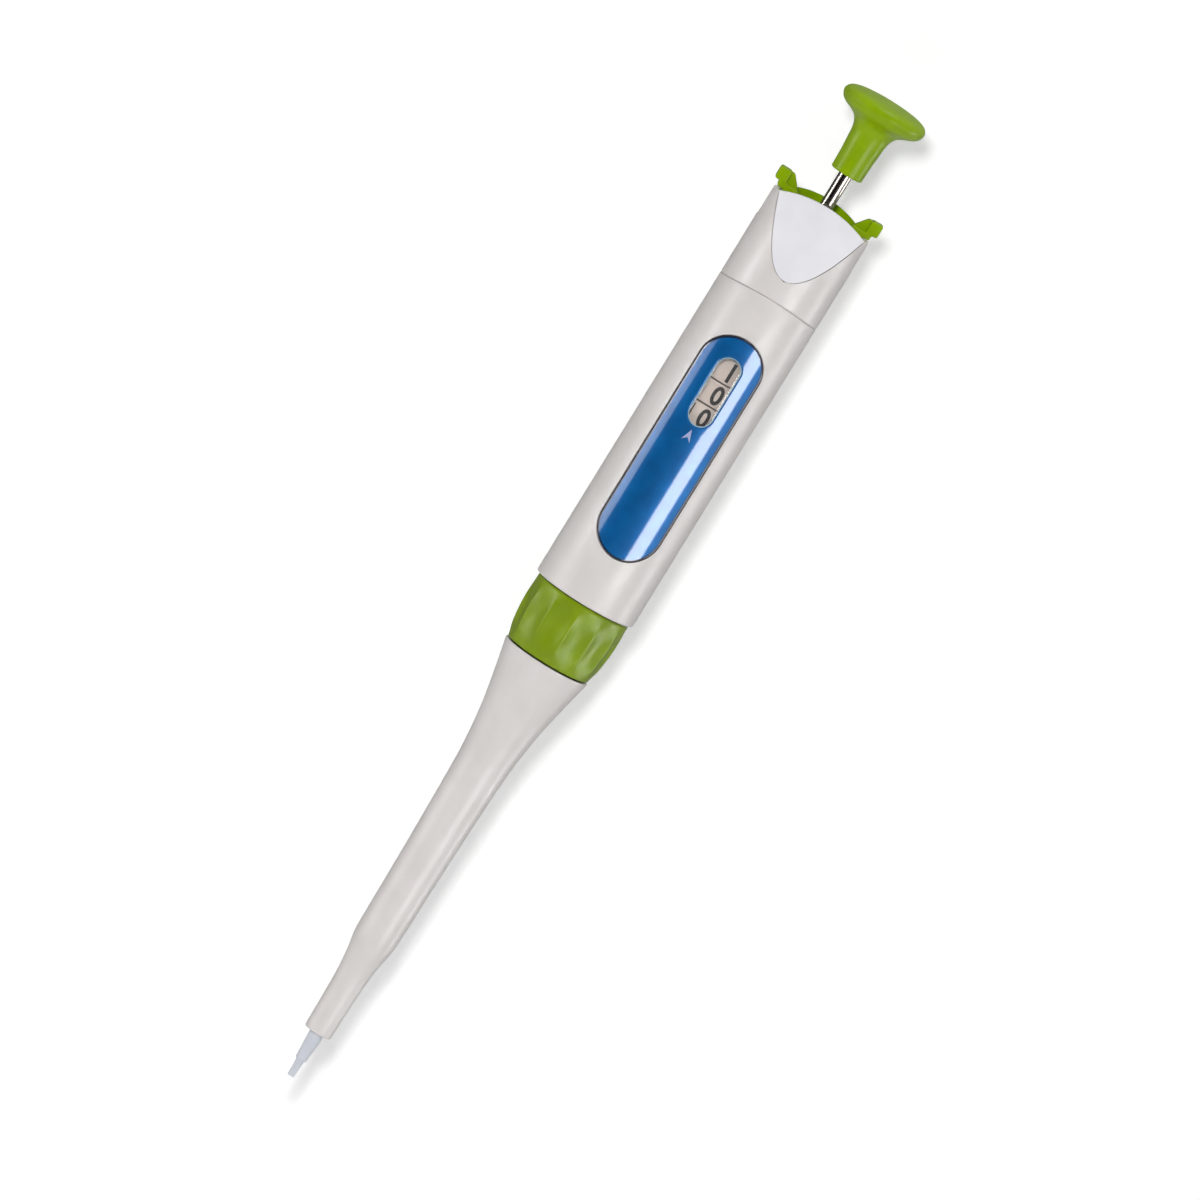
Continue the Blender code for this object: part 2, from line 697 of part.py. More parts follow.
def lug_shape():
    """A lug inside the shell, which guides the ejector rod and carries its spring."""
    half = rod_hole + LUG_SIDE
    inner = ejector_rod_upper - rod_hole - LUG_NOSE
    return block("rod_lug", (-half, inner, lug_bottom), (half, handle_bore + 0.5 * HANDLE_WALL, lug_top))


def make_panel_and_lens():
    """The blue panel in its pocket, and the clear window in the panel."""
    outer = HANDLE_RADIUS + PANEL_PROUD
    low = panel_centre - 0.5 * PANEL_LENGTH - OVER
    high = panel_centre + 0.5 * PANEL_LENGTH + OVER
    panel = turned("label_panel", ring_outline(outer, outer - PANEL_THICKNESS, low, high), 2 * FINE_FACETS,
                   material("blue_metallic_film", "#1B5FA8", 0.15, 0.6))
    kept_inside(panel, front_prism("panel_edge", stadium(PANEL_WIDTH, PANEL_LENGTH, panel_centre)))
    cut(panel, front_prism("panel_window", stadium(WINDOW_WIDTH, WINDOW_LENGTH, window_centre)))
    lens_outer = outer - 0.1
    lens = turned("window_lens", ring_outline(lens_outer, lens_outer - LENS_THICKNESS, low, high),
                  2 * FINE_FACETS, material("clear_plastic", "#E8EEF2", 0.05))
    kept_inside(lens, front_prism("lens_edge", stadium(
        WINDOW_WIDTH - 2 * RUN_GAP, WINDOW_LENGTH - 2 * RUN_GAP, window_centre)))


def scoop_depth(rise):
    """How deep the scoop lies behind the front of the head, at one height above its bottom."""
    half_width_squared = scoop_half_width ** 2 * min(max(rise / SCOOP_RISE, 0.0), 1.0)
    return HANDLE_RADIUS - math.sqrt(HANDLE_RADIUS ** 2 - half_width_squared)


def scoop_front_outline(grow):
    """The scoop seen from the front, as (x, z): a parabola that runs out at the head's rim."""
    bottom = head_bottom + SCOOP_BOTTOM
    steps = 10
    right = []
    for i in range(steps + 1):
        share = i / steps
        right.append((scoop_half_width * share + grow,
                      bottom + SCOOP_RISE * share ** 2 - (grow if i == 0 else 0)))
    right.append((right[-1][0], head_top + SCOOP_TOP_RISE + OVER))
    left = [(-x, z) for x, z in reversed(right)]
    return right + left if grow else right[1:] + left[:-1] + [(0, bottom)]


def scoop_side_line(back):
    """The scoop seen from the side, as (y, z), from its bottom to above its top edge."""
    bottom = head_bottom + SCOOP_BOTTOM
    steps = 12
    line = [(-HANDLE_RADIUS + back, bottom - OVER)]
    for i in range(steps + 1):
        rise = SCOOP_RISE * i / steps
        line.append((-HANDLE_RADIUS + scoop_depth(rise) + back, bottom + rise))
    line.append((line[-1][0], head_top + SCOOP_TOP_RISE + OVER))
    return line


def make_head():
    """The head shell with its bulkhead, side slots and scooped front, and the white scoop insert."""
    rim = [(HANDLE_RADIUS - inset, head_top - drop) for inset, drop in HEAD_RIM_LINE]
    outline = [(handle_bore, head_top)] + rim + [
        (HANDLE_RADIUS, head_bottom + TOP_CHAMFER), (HANDLE_RADIUS - TOP_CHAMFER, head_bottom),
        (fitted_radius, head_bottom), (fitted_radius, head_bottom - HEAD_SPIGOT_LENGTH),
        (fitted_radius - SPIGOT_WALL, head_bottom - HEAD_SPIGOT_LENGTH),
        (fitted_radius - SPIGOT_WALL, bulkhead_bottom),
        (BUSH_RADIUS + SEAT_GAP, bulkhead_bottom), (BUSH_RADIUS + SEAT_GAP, bulkhead_top),
        (handle_bore, bulkhead_top),
    ]
    shell = turned("head_shell", outline, FINE_FACETS, shell_plastic())
    opening = flat_shape("scoop_opening", scoop_front_outline(RUN_GAP), 2 * HANDLE_RADIUS, "Y",
                         shift=-HANDLE_RADIUS)
    in_front = scoop_side_line(SCOOP_WALL + SEAT_GAP)
    in_front += [(-HANDLE_RADIUS - OVER, in_front[-1][1]), (-HANDLE_RADIUS - OVER, in_front[0][1])]
    kept_inside(opening, flat_shape("scoop_opening_depth", in_front, 2 * HANDLE_RADIUS + OVER, "X"))
    slot_half = 0.5 * EAR_DEPTH + SEAT_GAP
    slot_bottom = head_top + EAR_ROOT_BOTTOM - EJECT_STROKE - SEAT_GAP
    slot = block("ear_slot", (-HANDLE_RADIUS - OVER, -slot_half, slot_bottom),
                 (HANDLE_RADIUS + OVER, slot_half, head_top + OVER))
    notch = block("rod_notch",
                  (-rod_hole, ejector_rod_upper - rod_hole, head_bottom - HEAD_SPIGOT_LENGTH - OVER),
                  (rod_hole, handle_bore - 0.1, bulkhead_top + OVER))
    cut(shell, opening, slot, notch)

    insert = flat_shape("head_insert", scoop_front_outline(0), 2 * HANDLE_RADIUS, "Y",
                        material("white_plastic", "#E4E3EA", 0.35), shift=-HANDLE_RADIUS)
    front = scoop_side_line(0)[1:]
    back = scoop_side_line(SCOOP_WALL)[1:]
    kept_inside(insert, flat_shape("scoop_plate", front + back[::-1], 2 * HANDLE_RADIUS + OVER, "X"))
    arch_top = head_top + SCOOP_TOP_RISE
    kept_inside(insert, cross_cylinder("scoop_arch", SCOOP_ARCH_RADIUS, arch_top - SCOOP_ARCH_RADIUS,
                                       4 * HANDLE_RADIUS))


def ear_outline(side):
    """One ear of the ejector button seen from the front, as (x, z)."""
    flat_start = ear_reach - EAR_FLAT
    slope_start = flat_start - EAR_SLOPE
    outline = [
        (slope_start - EAR_TAIL_BOTTOM, head_top + EAR_ROOT_BOTTOM),
        (ear_root_reach, head_top + EAR_ROOT_BOTTOM),
        (ear_root_reach, head_top + EAR_UNDERSIDE), (ear_reach, head_top + EAR_UNDERSIDE),
        (ear_reach, head_top + EAR_TOP), (flat_start, head_top + EAR_TOP),
        (slope_start, head_top + EAR_UNDERSIDE + EAR_SLOPE_RISE),
        (slope_start - EAR_TAIL_TOP, head_top + SADDLE_ARCH_RISE - EAR_TAIL_DROP),
    ]
    return [(side * x, z) for x, z in outline]


def make_ejector_button():
    """The green saddle: an arched C-shaped plate with a skirt behind, and an ear on each side."""
    plate_top = head_top + SADDLE_ARCH_RISE
    plate_bottom = plate_top - SADDLE_PLATE
    skirt_bottom = head_top - SADDLE_SKIRT
    inner = saddle_radius - SADDLE_WALL
    saddle = turned("ejector_button", [
        (saddle_radius, plate_top), (saddle_radius, skirt_bottom), (inner, skirt_bottom),
        (inner, plate_bottom), (SADDLE_HOLE, plate_bottom), (SADDLE_HOLE, plate_top),
    ], FINE_FACETS, green_plastic())
    kept_inside(saddle, cross_cylinder("saddle_arch", SADDLE_ARCH_RADIUS, plate_top - SADDLE_ARCH_RADIUS,
                                       4 * HANDLE_RADIUS))
    front = block("saddle_front", (-ear_reach - OVER, -ear_reach - OVER, skirt_bottom - OVER),
                  (ear_reach + OVER, -0.5 * EAR_DEPTH, plate_top + OVER))
    ears = [flat_shape(f"ear_form_{word}", ear_outline(side), EAR_DEPTH, "Y", edge_round=EAR_ROUND)
            for word, side in (("left", -1), ("right", 1))]
    socket_half = rod_hole + SOCKET_SIDE
    socket = block("rod_socket", (-socket_half, ejector_rod_upper - rod_hole - LUG_NOSE, skirt_bottom),
                   (socket_half, inner + 0.5 * SADDLE_WALL, plate_bottom + SOCKET_SINK))
    cut(saddle, front)
    joined(saddle, *ears, socket)
    cut(saddle, turned("rod_socket_bore",
                       rod_outline(rod_hole, skirt_bottom - OVER, ejector_rod_top + SEAT_GAP),
                       SMALL_FACETS, location=(0, ejector_rod_upper, 0)))


def make_ejector_linkage():
    """The cranked rod from the button to the sleeve, with its spring, clip and collar."""
    upper, lower = ejector_rod_upper, ejector_rod_lower
    route = [
        (0, upper, ejector_rod_top), (0, upper, crank_top + 0.5), (0, upper - 0.15, crank_top - 0.25),
        (0, lower + 0.15, crank_bottom + 0.25), (0, lower, crank_bottom - 0.5),
        (0, lower, ejector_rod_bottom),
    ]
    wire("ejector_rod", route, EJECTOR_ROD_RADIUS, steel(), sides_step=4)
    coil("ejector_spring", EJECTOR_SPRING_RADIUS, EJECTOR_SPRING_WIRE, lug_top + SEAT_GAP,
         clip_bottom - SEAT_GAP, EJECTOR_SPRING_TURNS, 6, spring_steel(), centre_y=upper)
    turned("ejector_clip", ring_outline(CLIP_RADIUS, EJECTOR_ROD_RADIUS + RUN_GAP, clip_bottom, clip_top),
           SMALL_FACETS, spring_steel(), location=(0, upper, 0))
    sleeve_outer = value_at(SLEEVE_OUTLINE, (collar_bottom - sleeve_bottom) / SLEEVE_LENGTH)
    outer = sleeve_outer - SLEEVE_WALL - RUN_GAP
    collar_hole = HOUSING_RADIUS + FREE_GAP
    collar = turned("ejector_collar",
                    bored_outline(outer, collar_hole, collar_bottom, collar_top, SMALL_CHAMFER),
                    MEDIUM_FACETS, inner_plastic())
    cut(collar, turned("collar_bore", rod_outline(EJECTOR_ROD_RADIUS + RUN_GAP, collar_bottom + SEAT_GAP,
                                                  collar_top + OVER), SMALL_FACETS, location=(0, lower, 0)))


def make_ejector_sleeve():
    """The long tapered sleeve that pushes the tip off."""
    outer = [(radius, sleeve_bottom + share * SLEEVE_LENGTH) for share, radius in reversed(SLEEVE_OUTLINE)]
    inner = [(radius - SLEEVE_WALL, height) for radius, height in reversed(outer)]
    turned("ejector_sleeve", outer + inner, MEDIUM_FACETS, shell_plastic())


def make_tip_cone():
    """The moulded tip cone: nozzle, piston bore, spring housing and clamping flange in one."""
    outline = [(HOUSING_RADIUS, flange_top + HOUSING_RISE), (HOUSING_RADIUS, flange_top),
               (flange_radius, flange_top), (flange_radius, flange_bottom),
               (HOUSING_RADIUS, flange_bottom)]
    for share, radius in reversed(SLEEVE_OUTLINE[:-1]):
        clear = radius - SLEEVE_WALL - FREE_GAP
        if clear < HOUSING_RADIUS:
            outline.append((clear, sleeve_bottom + share * SLEEVE_LENGTH))
    outline += [(NOZZLE_STEP_RADIUS, NUB_LENGTH), (NUB_ROOT_RADIUS, NUB_LENGTH), (NUB_RADIUS, 0.0),
                (AIR_RADIUS, 0.0), (AIR_RADIUS, seal_floor - PISTON_BORE_LENGTH)]
    piston_bore = PISTON_RADIUS + SEAT_GAP
    outline += [(piston_bore, seal_floor - PISTON_BORE_LENGTH), (piston_bore, seal_floor),
                (housing_bore, seal_floor), (housing_bore, flange_top + HOUSING_RISE)]
    cone = turned("tip_cone", outline, MEDIUM_FACETS, cone_plastic())
    cut(cone, turned("flange_bore", rod_outline(rod_hole, flange_bottom - OVER, flange_top + OVER),
                     SMALL_FACETS, location=(0, ejector_rod_lower, 0)))


def make_grip_nut():
    """The fluted nut that clamps the tip cone's flange to the handle."""
    belly = nut_bottom + NUT_BELLY_SHARE * NUT_LENGTH
    waist = 0.5 * (nut_belly_radius + nut_bottom_radius) + NUT_WAIST_BULGE
    outer = smooth_line([(nut_top_radius, nut_top - NUT_RIM), (nut_belly_radius, belly),
                         (waist, nut_bottom + NUT_WAIST_SHARE * NUT_LENGTH),
                         (nut_bottom_radius, nut_bottom + NUT_RIM)], 2)
    outline = [(nut_top_radius - NUT_RIM_INSET, nut_top)] + outer + [
        (nut_bottom_radius - NUT_RIM_INSET, nut_bottom), (nut_lip_bore, nut_bottom),
        (nut_lip_bore, nut_bottom + NUT_LIP_THICKNESS), (nut_bore, nut_bottom + NUT_LIP_THICKNESS),
        (nut_bore, nut_top)]
    nut = turned("grip_nut", outline, 3 * FLUTE_COUNT, nut_plastic())
    cut(nut, flute_cutter())


def flute_cutter():
    """Twelve long lens shapes, one for each flute, tipped to follow the nut's taper."""
    mesh = bpy.data.meshes.new("nut_flutes")
    work = bmesh.new()
    middle = nut_bottom + FLUTE_MIDDLE_SHARE * NUT_LENGTH
    lean = math.atan((nut_top_radius - nut_bottom_radius) / NUT_LENGTH)
    half_sizes = (2 * FLUTE_DEPTH, 0.5 * FLUTE_WIDTH, 0.5 * FLUTE_LENGTH)
    reach = nut_belly_radius - FLUTE_SINK + half_sizes[0] - FLUTE_DEPTH
    for i in range(FLUTE_COUNT):
        turn = Matrix.Rotation(2 * math.pi * (i + 0.5) / FLUTE_COUNT, 4, "Z")
        centre = Matrix.Translation((reach * MM, 0, middle * MM))
        form = Matrix.Diagonal((*(size * grow * MM for size, grow in zip(half_sizes, FLUTE_GROW)), 1))
        bmesh.ops.create_uvsphere(work, u_segments=10, v_segments=8, radius=1.0,
                                  matrix=turn @ centre @ Matrix.Rotation(lean, 4, "Y") @ form)
    work.to_mesh(mesh)
    work.free()
    return mesh_object("nut_flutes", mesh)


def make_push_button():
    """The mushroom-shaped button, bored for the rod."""
    outer = smooth_line([(radius, button_bottom + share * BUTTON_HEIGHT)
                         for radius, share in reversed(BUTTON_OUTLINE)], 2)
    bore = ROD_RADIUS + RUN_GAP
    outline = [(0, button_top)] + outer[:-1] + [
        (BUTTON_OUTLINE[0][0], button_bottom + BUTTON_FOOT_RISE),
        (BUTTON_OUTLINE[0][0] - BUTTON_FOOT_RISE, button_bottom),
        (bore, button_bottom), (bore, button_bottom + BUTTON_BORE_DEPTH),
        (0, button_bottom + BUTTON_BORE_DEPTH)]
    turned("push_button", outline, MEDIUM_FACETS, green_plastic())


def make_plunger():
    """What the button moves: rod, stop collar, piston holder, piston and its spring."""
    turned("push_rod", rod_outline(ROD_RADIUS, rod_bottom, rod_top, ROD_CHAMFER), SLIM_FACETS, steel())
    turned("stop_collar", bored_outline(STOP_COLLAR_RADIUS, ROD_RADIUS + RUN_GAP, stop_collar_bottom,
                                        stop_collar_top, SMALL_CHAMFER), SLIM_FACETS, steel())
    socket = PISTON_RADIUS + RUN_GAP
    turned("piston_holder", [
        (0, holder_top), (HOLDER_HEAD_RADIUS - SMALL_CHAMFER, holder_top),
        (HOLDER_HEAD_RADIUS, holder_top - SMALL_CHAMFER),
        (HOLDER_HEAD_RADIUS, holder_shoulder), (HOLDER_STEM_RADIUS, holder_shoulder),
        (HOLDER_STEM_RADIUS, holder_bottom), (socket, holder_bottom),
        (socket, piston_top + SEAT_GAP), (0, piston_top + SEAT_GAP),
    ], SLIM_FACETS, inner_plastic())
    turned("piston", rod_outline(PISTON_RADIUS, piston_bottom, piston_top), SMALL_FACETS, steel())
    coil("piston_spring", PISTON_SPRING_RADIUS, PISTON_SPRING_WIRE, retainer_top + SEAT_GAP,
         holder_shoulder - SEAT_GAP, PISTON_SPRING_TURNS, 7, spring_steel())


def make_stops():
    """The blow-out stop: a plate on a stiff spring, and the seat that the spring stands on."""
    turned("stop_plate", bored_outline(stop_plate_radius, ROD_RADIUS + FREE_GAP, stop_plate_bottom,
                                       stop_plate_top, SMALL_CHAMFER), MEDIUM_FACETS, steel())
    coil("blowout_spring", BLOWOUT_SPRING_RADIUS, BLOWOUT_SPRING_WIRE, spring_seat_top + SEAT_GAP,
         stop_plate_bottom - SEAT_GAP, BLOWOUT_SPRING_TURNS, 8, spring_steel())
    seat_bore = HOLDER_HEAD_RADIUS + FREE_GAP
    seat = turned("spring_seat",
                  ring_outline(fitted_radius, seat_bore, spring_seat_bottom, spring_seat_top),
                  MEDIUM_FACETS, inner_plastic())
    cut(seat, block("seat_notch", (-rod_hole, ejector_rod_lower - rod_hole, spring_seat_bottom - OVER),
                    (rod_hole, HANDLE_RADIUS, spring_seat_top + OVER)))


def make_seals():
    """The piston's seal stack on the floor of the spring housing."""
    fit = housing_bore - SEAT_GAP
    o_ring("seal_o_ring", PISTON_RADIUS + SEAT_GAP + O_RING_WIRE, O_RING_WIRE, o_ring_height, SMALL_FACETS,
           seal_rubber())
    turned("piston_seal", ring_outline(fit, PISTON_RADIUS + RUN_GAP, seal_bottom, seal_top), SMALL_FACETS,
           cone_plastic())
    turned("seal_retainer",
           bored_outline(fit, PISTON_RADIUS + FREE_GAP, retainer_bottom, retainer_top, SMALL_CHAMFER),
           SMALL_FACETS, steel())


def drum_outline(bottom, top):
    """A number drum: an outer wall, a web and a hub."""
    middle = 0.5 * (bottom + top)
    hub = drum_bore + DRUM_HUB
    inner = drum_radius - DRUM_WALL
    web = 0.5 * DRUM_WEB
    return [
        (drum_radius, top), (drum_radius, bottom), (inner, bottom), (inner, middle - web),
        (hub, middle - web), (hub, bottom), (drum_bore, bottom), (drum_bore, top), (hub, top),
        (hub, middle + web), (inner, middle + web), (inner, top),
    ]


def make_counter():
    """The three number drums on the drive sleeve, and the frame that holds them."""
    drum_finish = material("pale_grey_plastic", "#C9C4BE", 0.4)
    for place, name in enumerate(("drum_units", "drum_tens", "drum_hundreds")):
        low = counter_bottom + place * DRUM_PITCH
        turned(name, drum_outline(low + 0.5 * SEAT_GAP, low + DRUM_PITCH - 0.5 * SEAT_GAP), DRUM_FACETS,
               drum_finish)
    turned("drive_sleeve", ring_outline(drive_sleeve_radius, drive_sleeve_bore, drive_sleeve_bottom,
                                        drive_sleeve_top), SLIM_FACETS,
           brass())
    inner = fitted_radius - FRAME_WALL
    bore = drive_sleeve_radius + SEAT_GAP
    frame = turned("counter_frame", [
        (fitted_radius, frame_top), (fitted_radius, frame_bottom), (bore, frame_bottom),
        (bore, frame_bottom + FRAME_PLATE), (inner, frame_bottom + FRAME_PLATE),
        (inner, frame_top - FRAME_PLATE), (bore, frame_top - FRAME_PLATE), (bore, frame_top),
    ], MEDIUM_FACETS, inner_plastic())
    view_half = 0.5 * WINDOW_WIDTH + FRAME_VIEW_MARGIN
    cut(frame,
        block("frame_view", (-view_half, -HANDLE_RADIUS, frame_bottom + FRAME_PLATE),
              (view_half, -0.5 * inner, frame_top - FRAME_PLATE)),
        block("frame_rod_slot", (-rod_hole, ejector_rod_upper - rod_hole, frame_bottom - OVER),
              (rod_hole, HANDLE_RADIUS, frame_top + OVER)))


def make_volume_screw():
    """The screw that sets the stroke: a fixed nut, the turning spindle and a friction ring."""
    turned("volume_nut",
           bored_outline(volume_nut_radius, spindle_radius + RUN_GAP, volume_nut_bottom, volume_nut_top,
                         VOLUME_NUT_CHAMFER), MEDIUM_FACETS, brass())
    flange_low = friction_ring_height + FRICTION_RING_WIRE + SEAT_GAP
    flange_high = flange_low + SPINDLE_FLANGE_THICKNESS
    bore = ROD_RADIUS + RUN_GAP
    turned("volume_spindle", [
        (spindle_radius - SPINDLE_NECK_STEP, spindle_top),
        (spindle_radius - SPINDLE_NECK_STEP, flange_high),
        (spindle_flange_radius, flange_high), (spindle_flange_radius, flange_low),
        (spindle_radius, flange_low), (spindle_radius, spindle_bottom), (bore, spindle_bottom),
        (bore, spindle_top),
    ], SLIM_FACETS, steel())
    o_ring("friction_ring", spindle_radius + SEAT_GAP + FRICTION_RING_WIRE, FRICTION_RING_WIRE,
           friction_ring_height, SMALL_FACETS, seal_rubber())
    bush_low = spindle_top + SEAT_GAP
    flange_seat = bulkhead_top + SEAT_GAP
    turned("rod_bush", [
        (BUSH_RADIUS - BUSH_NECK_STEP, bush_low + BUSH_LENGTH),
        (BUSH_RADIUS - BUSH_NECK_STEP, flange_seat + BUSH_FLANGE_THICKNESS),
        (BUSH_FLANGE_RADIUS, flange_seat + BUSH_FLANGE_THICKNESS), (BUSH_FLANGE_RADIUS, flange_seat),
        (BUSH_RADIUS, flange_seat), (BUSH_RADIUS, bush_low), (bore, bush_low),
        (bore, bush_low + BUSH_LENGTH),
    ], SLIM_FACETS, cone_plastic())


def shade_round_pieces():
    """Settle every piece into its final mesh, smooth on round stretches and sharp at edges."""
    bpy.context.view_layer.update()
    graph = bpy.context.evaluated_depsgraph_get()
    settled = {}
    for piece in bpy.data.collections[PART_COLLECTION].objects:
        if piece.type == "MESH":
            settled[piece] = bpy.data.meshes.new_from_object(piece.evaluated_get(graph))
    for piece, mesh in settled.items():
        piece.modifiers.clear()
        piece.data = mesh
        mesh.shade_smooth()
        mesh.set_sharp_from_angle(angle=math.radians(35))


def build():
    empty_scene()
    axis = bpy.data.objects.new("handle_axis", None)
    bpy.data.collections[PART_COLLECTION].objects.link(axis)
    axis.location = Vector((0, -rest_middle, -rest_underside)) * MM
    make_body_shell()
    make_panel_and_lens()
    make_head()
    make_ejector_button()
    make_ejector_linkage()
    make_ejector_sleeve()
    make_tip_cone()
    make_grip_nut()
    make_push_button()
    make_plunger()
    make_stops()
    make_seals()
    make_counter()
    make_volume_screw()
    shade_round_pieces()


build()
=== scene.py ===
"""Looks, light and camera for the adjustable single-channel micropipette.

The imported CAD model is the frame. The pieces that show are built again here with finer curves, and the
inner pieces keep their CAD shape and get a finish. Sizes are in millimetres, and heights are counted
from the tip end of the nozzle along the handle's axis, unless a line says otherwise.
"""
import math

import bmesh
import bpy
from mathutils import Matrix, Vector


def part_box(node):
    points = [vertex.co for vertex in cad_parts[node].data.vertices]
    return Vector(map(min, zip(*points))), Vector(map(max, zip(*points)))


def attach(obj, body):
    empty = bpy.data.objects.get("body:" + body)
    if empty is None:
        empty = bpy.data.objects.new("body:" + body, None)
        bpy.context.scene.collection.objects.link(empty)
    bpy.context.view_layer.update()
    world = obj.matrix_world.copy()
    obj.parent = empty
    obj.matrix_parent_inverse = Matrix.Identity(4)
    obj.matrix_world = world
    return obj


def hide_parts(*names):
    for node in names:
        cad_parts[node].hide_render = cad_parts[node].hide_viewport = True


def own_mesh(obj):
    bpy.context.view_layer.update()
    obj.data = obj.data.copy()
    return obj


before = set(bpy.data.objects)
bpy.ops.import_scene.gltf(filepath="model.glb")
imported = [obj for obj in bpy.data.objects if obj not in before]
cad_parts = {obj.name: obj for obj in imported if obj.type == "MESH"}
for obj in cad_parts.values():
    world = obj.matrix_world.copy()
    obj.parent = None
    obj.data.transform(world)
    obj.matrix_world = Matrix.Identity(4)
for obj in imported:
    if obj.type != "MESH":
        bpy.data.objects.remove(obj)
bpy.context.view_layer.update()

MM = 0.001
rod_low, rod_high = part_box("push_rod")
AXIS = Vector((0.5 * (rod_low.x + rod_high.x), 0.5 * (rod_low.y + rod_high.y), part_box("tip_cone")[0].z))
ROW_FRAME = Matrix.Translation(AXIS) @ Matrix.Scale(MM, 4)


def box_mm(node):
    """A CAD node's lowest and highest corners, counted from the tip end on the handle's axis."""
    low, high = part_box(node)
    return (low - AXIS) / MM, (high - AXIS) / MM


def heights(node):
    """A CAD node's lowest and highest height."""
    return tuple(corner.z for corner in box_mm(node))


# Sizes that the CAD nodes give
HANDLE_RADIUS = box_mm("head_shell")[1].x
SLEEVE_BOTTOM, SLEEVE_TOP = heights("ejector_sleeve")
NUT_BOTTOM, NUT_TOP = heights("grip_nut")
SPIGOT_BOTTOM, SHELL_TOP = heights("body_shell")
REST_END = box_mm("body_shell")[1].y
HEAD_SPIGOT_END, HEAD_TOP = heights("head_shell")
BUTTON_BOTTOM, BUTTON_TOP = heights("push_button")
PANEL_BOTTOM, PANEL_TOP = heights("label_panel")
PANEL_WIDTH = 2 * box_mm("label_panel")[1].x
PANEL_RADIUS = -box_mm("label_panel")[0].y
LENS_BOTTOM, LENS_TOP = heights("window_lens")
LENS_WIDTH = 2 * box_mm("window_lens")[1].x
DRUM_RADIUS = box_mm("drum_units")[1].x
EAR_REACH = box_mm("ejector_button")[1].x
SKIRT_BOTTOM = box_mm("ejector_button")[0].z
ROD_BOTTOM, ROD_TOP = heights("push_rod")

# Sizes that follow the CAD source
SEAT_GAP = 0.3            # between pieces that sit on each other
RUN_GAP = 0.2             # round a piece that fits in an opening
HANDLE_WALL = 1.4
SHELL_BOTTOM = NUT_TOP + SEAT_GAP
SHELL_FLOOR = 1.4
LEDGE_HEIGHT = 8.5        # of the spring seat's ledge above the shell's bottom
LEDGE_DEPTH = 0.55
HEAD_BOTTOM = SHELL_TOP + SEAT_GAP
HANDLE_BORE = HANDLE_RADIUS - HANDLE_WALL
SPIGOT_RADIUS = HANDLE_RADIUS - 2.8
SPIGOT_BORE = SPIGOT_RADIUS - 1.0
WINDOW_CENTRE = 0.5 * (LENS_BOTTOM + LENS_TOP)
WINDOW_WIDTH = LENS_WIDTH + 2 * RUN_GAP
WINDOW_LENGTH = LENS_TOP - LENS_BOTTOM + 2 * RUN_GAP
PANEL_CENTRE = 0.5 * (PANEL_BOTTOM + PANEL_TOP)
PANEL_LENGTH = PANEL_TOP - PANEL_BOTTOM
PANEL_THICKNESS = 0.75
LENS_THICKNESS = 0.6
SLEEVE_WALL = 1.0
REST_WIDTH = 9.0
REST_THICKNESS = 6.0
REST_UNDERSIDE = -AXIS.z / MM
FITTED_RADIUS = HANDLE_BORE - SEAT_GAP
BULKHEAD_THICKNESS = 2.0
BULKHEAD_HOLE = 3.3
ROD_HOLE = 1.1            # radius of the ejector rod's holes
ROD_FRONT_WALL = 0.4      # of material in front of those holes
EJECTOR_ROD_REACH = 8.55  # of the ejector rod behind the axis
LUG_BOTTOM, LUG_TOP = 141.55, 143.05
LUG_SIDE_WALL = 1.2
SCOOP_BOTTOM = HEAD_BOTTOM + 5.9
SCOOP_RISE = 15.2
SCOOP_HALF_WIDTH = 0.886 * HANDLE_RADIUS
SCOOP_WALL = 1.0
SCOOP_ARCH_RADIUS = 26.3
SCOOP_TOP = HEAD_TOP + 2.2     # of the insert's arched edge
EJECT_STROKE = 7.0
SADDLE_RADIUS = HANDLE_BORE - 0.4
SADDLE_BORE = SADDLE_RADIUS - 1.5
SADDLE_HOLE = 4.7
SADDLE_TOP = HEAD_TOP + 2.5
SADDLE_PLATE = 3.4
SADDLE_ARCH_RADIUS = 25.0
EAR_DEPTH = 3.6
EAR_BOTTOM = HEAD_TOP + 0.4
EAR_TOP = HEAD_TOP + 4.5
EAR_UNDERSIDE = HEAD_TOP + 1.6
EAR_FLAT_START = EAR_REACH - 3.4
EAR_SLOPE_START = EAR_FLAT_START - 2.0
EAR_ROOT_REACH = HANDLE_RADIUS - 0.4

# Sizes that only this script has
SEAM_GAP = 0.03           # between the head and the body shell
SEAM_RISE = 1.4           # of that seam in front
SEAM_REACH = 2.5          # above and below the seam, where the shells follow it
PANEL_EDGE_PAINTED_SHADE = (0.3, 0.55)   # from the panel's outline to where the painted navy edge shade fades, and ends
RIM_WIDTH = 0.2           # of the rim round the window, whose pale colour is a painted highlight
PRINT_THICKNESS = 0.03
PLATE_SLICE = 0.2         # between the planes that cut a plate before it is bent
EAR_INSET = 0.2           # of the ear's web behind the faces of its block
FIGURE_HEIGHT = 4.3
FIGURE_SQUEEZE = 2.7 / 3.3
FIGURE_TURN = math.radians(8)    # of the figures to the right of the window's middle
TICK_TURN = math.radians(-16)
DIGIT_STEP = math.radians(36)
OVER = 2.0                # of a cutter past what it cuts
OUTSIDE = HANDLE_RADIUS + OVER      # radius of what cuts the handle's wall from outside
WELD = 0.0005             # between points that become one

# Steps round a full turn
SHELL_STEPS = 160
SLEEVE_STEPS = 128
HOLE_STEPS = 48

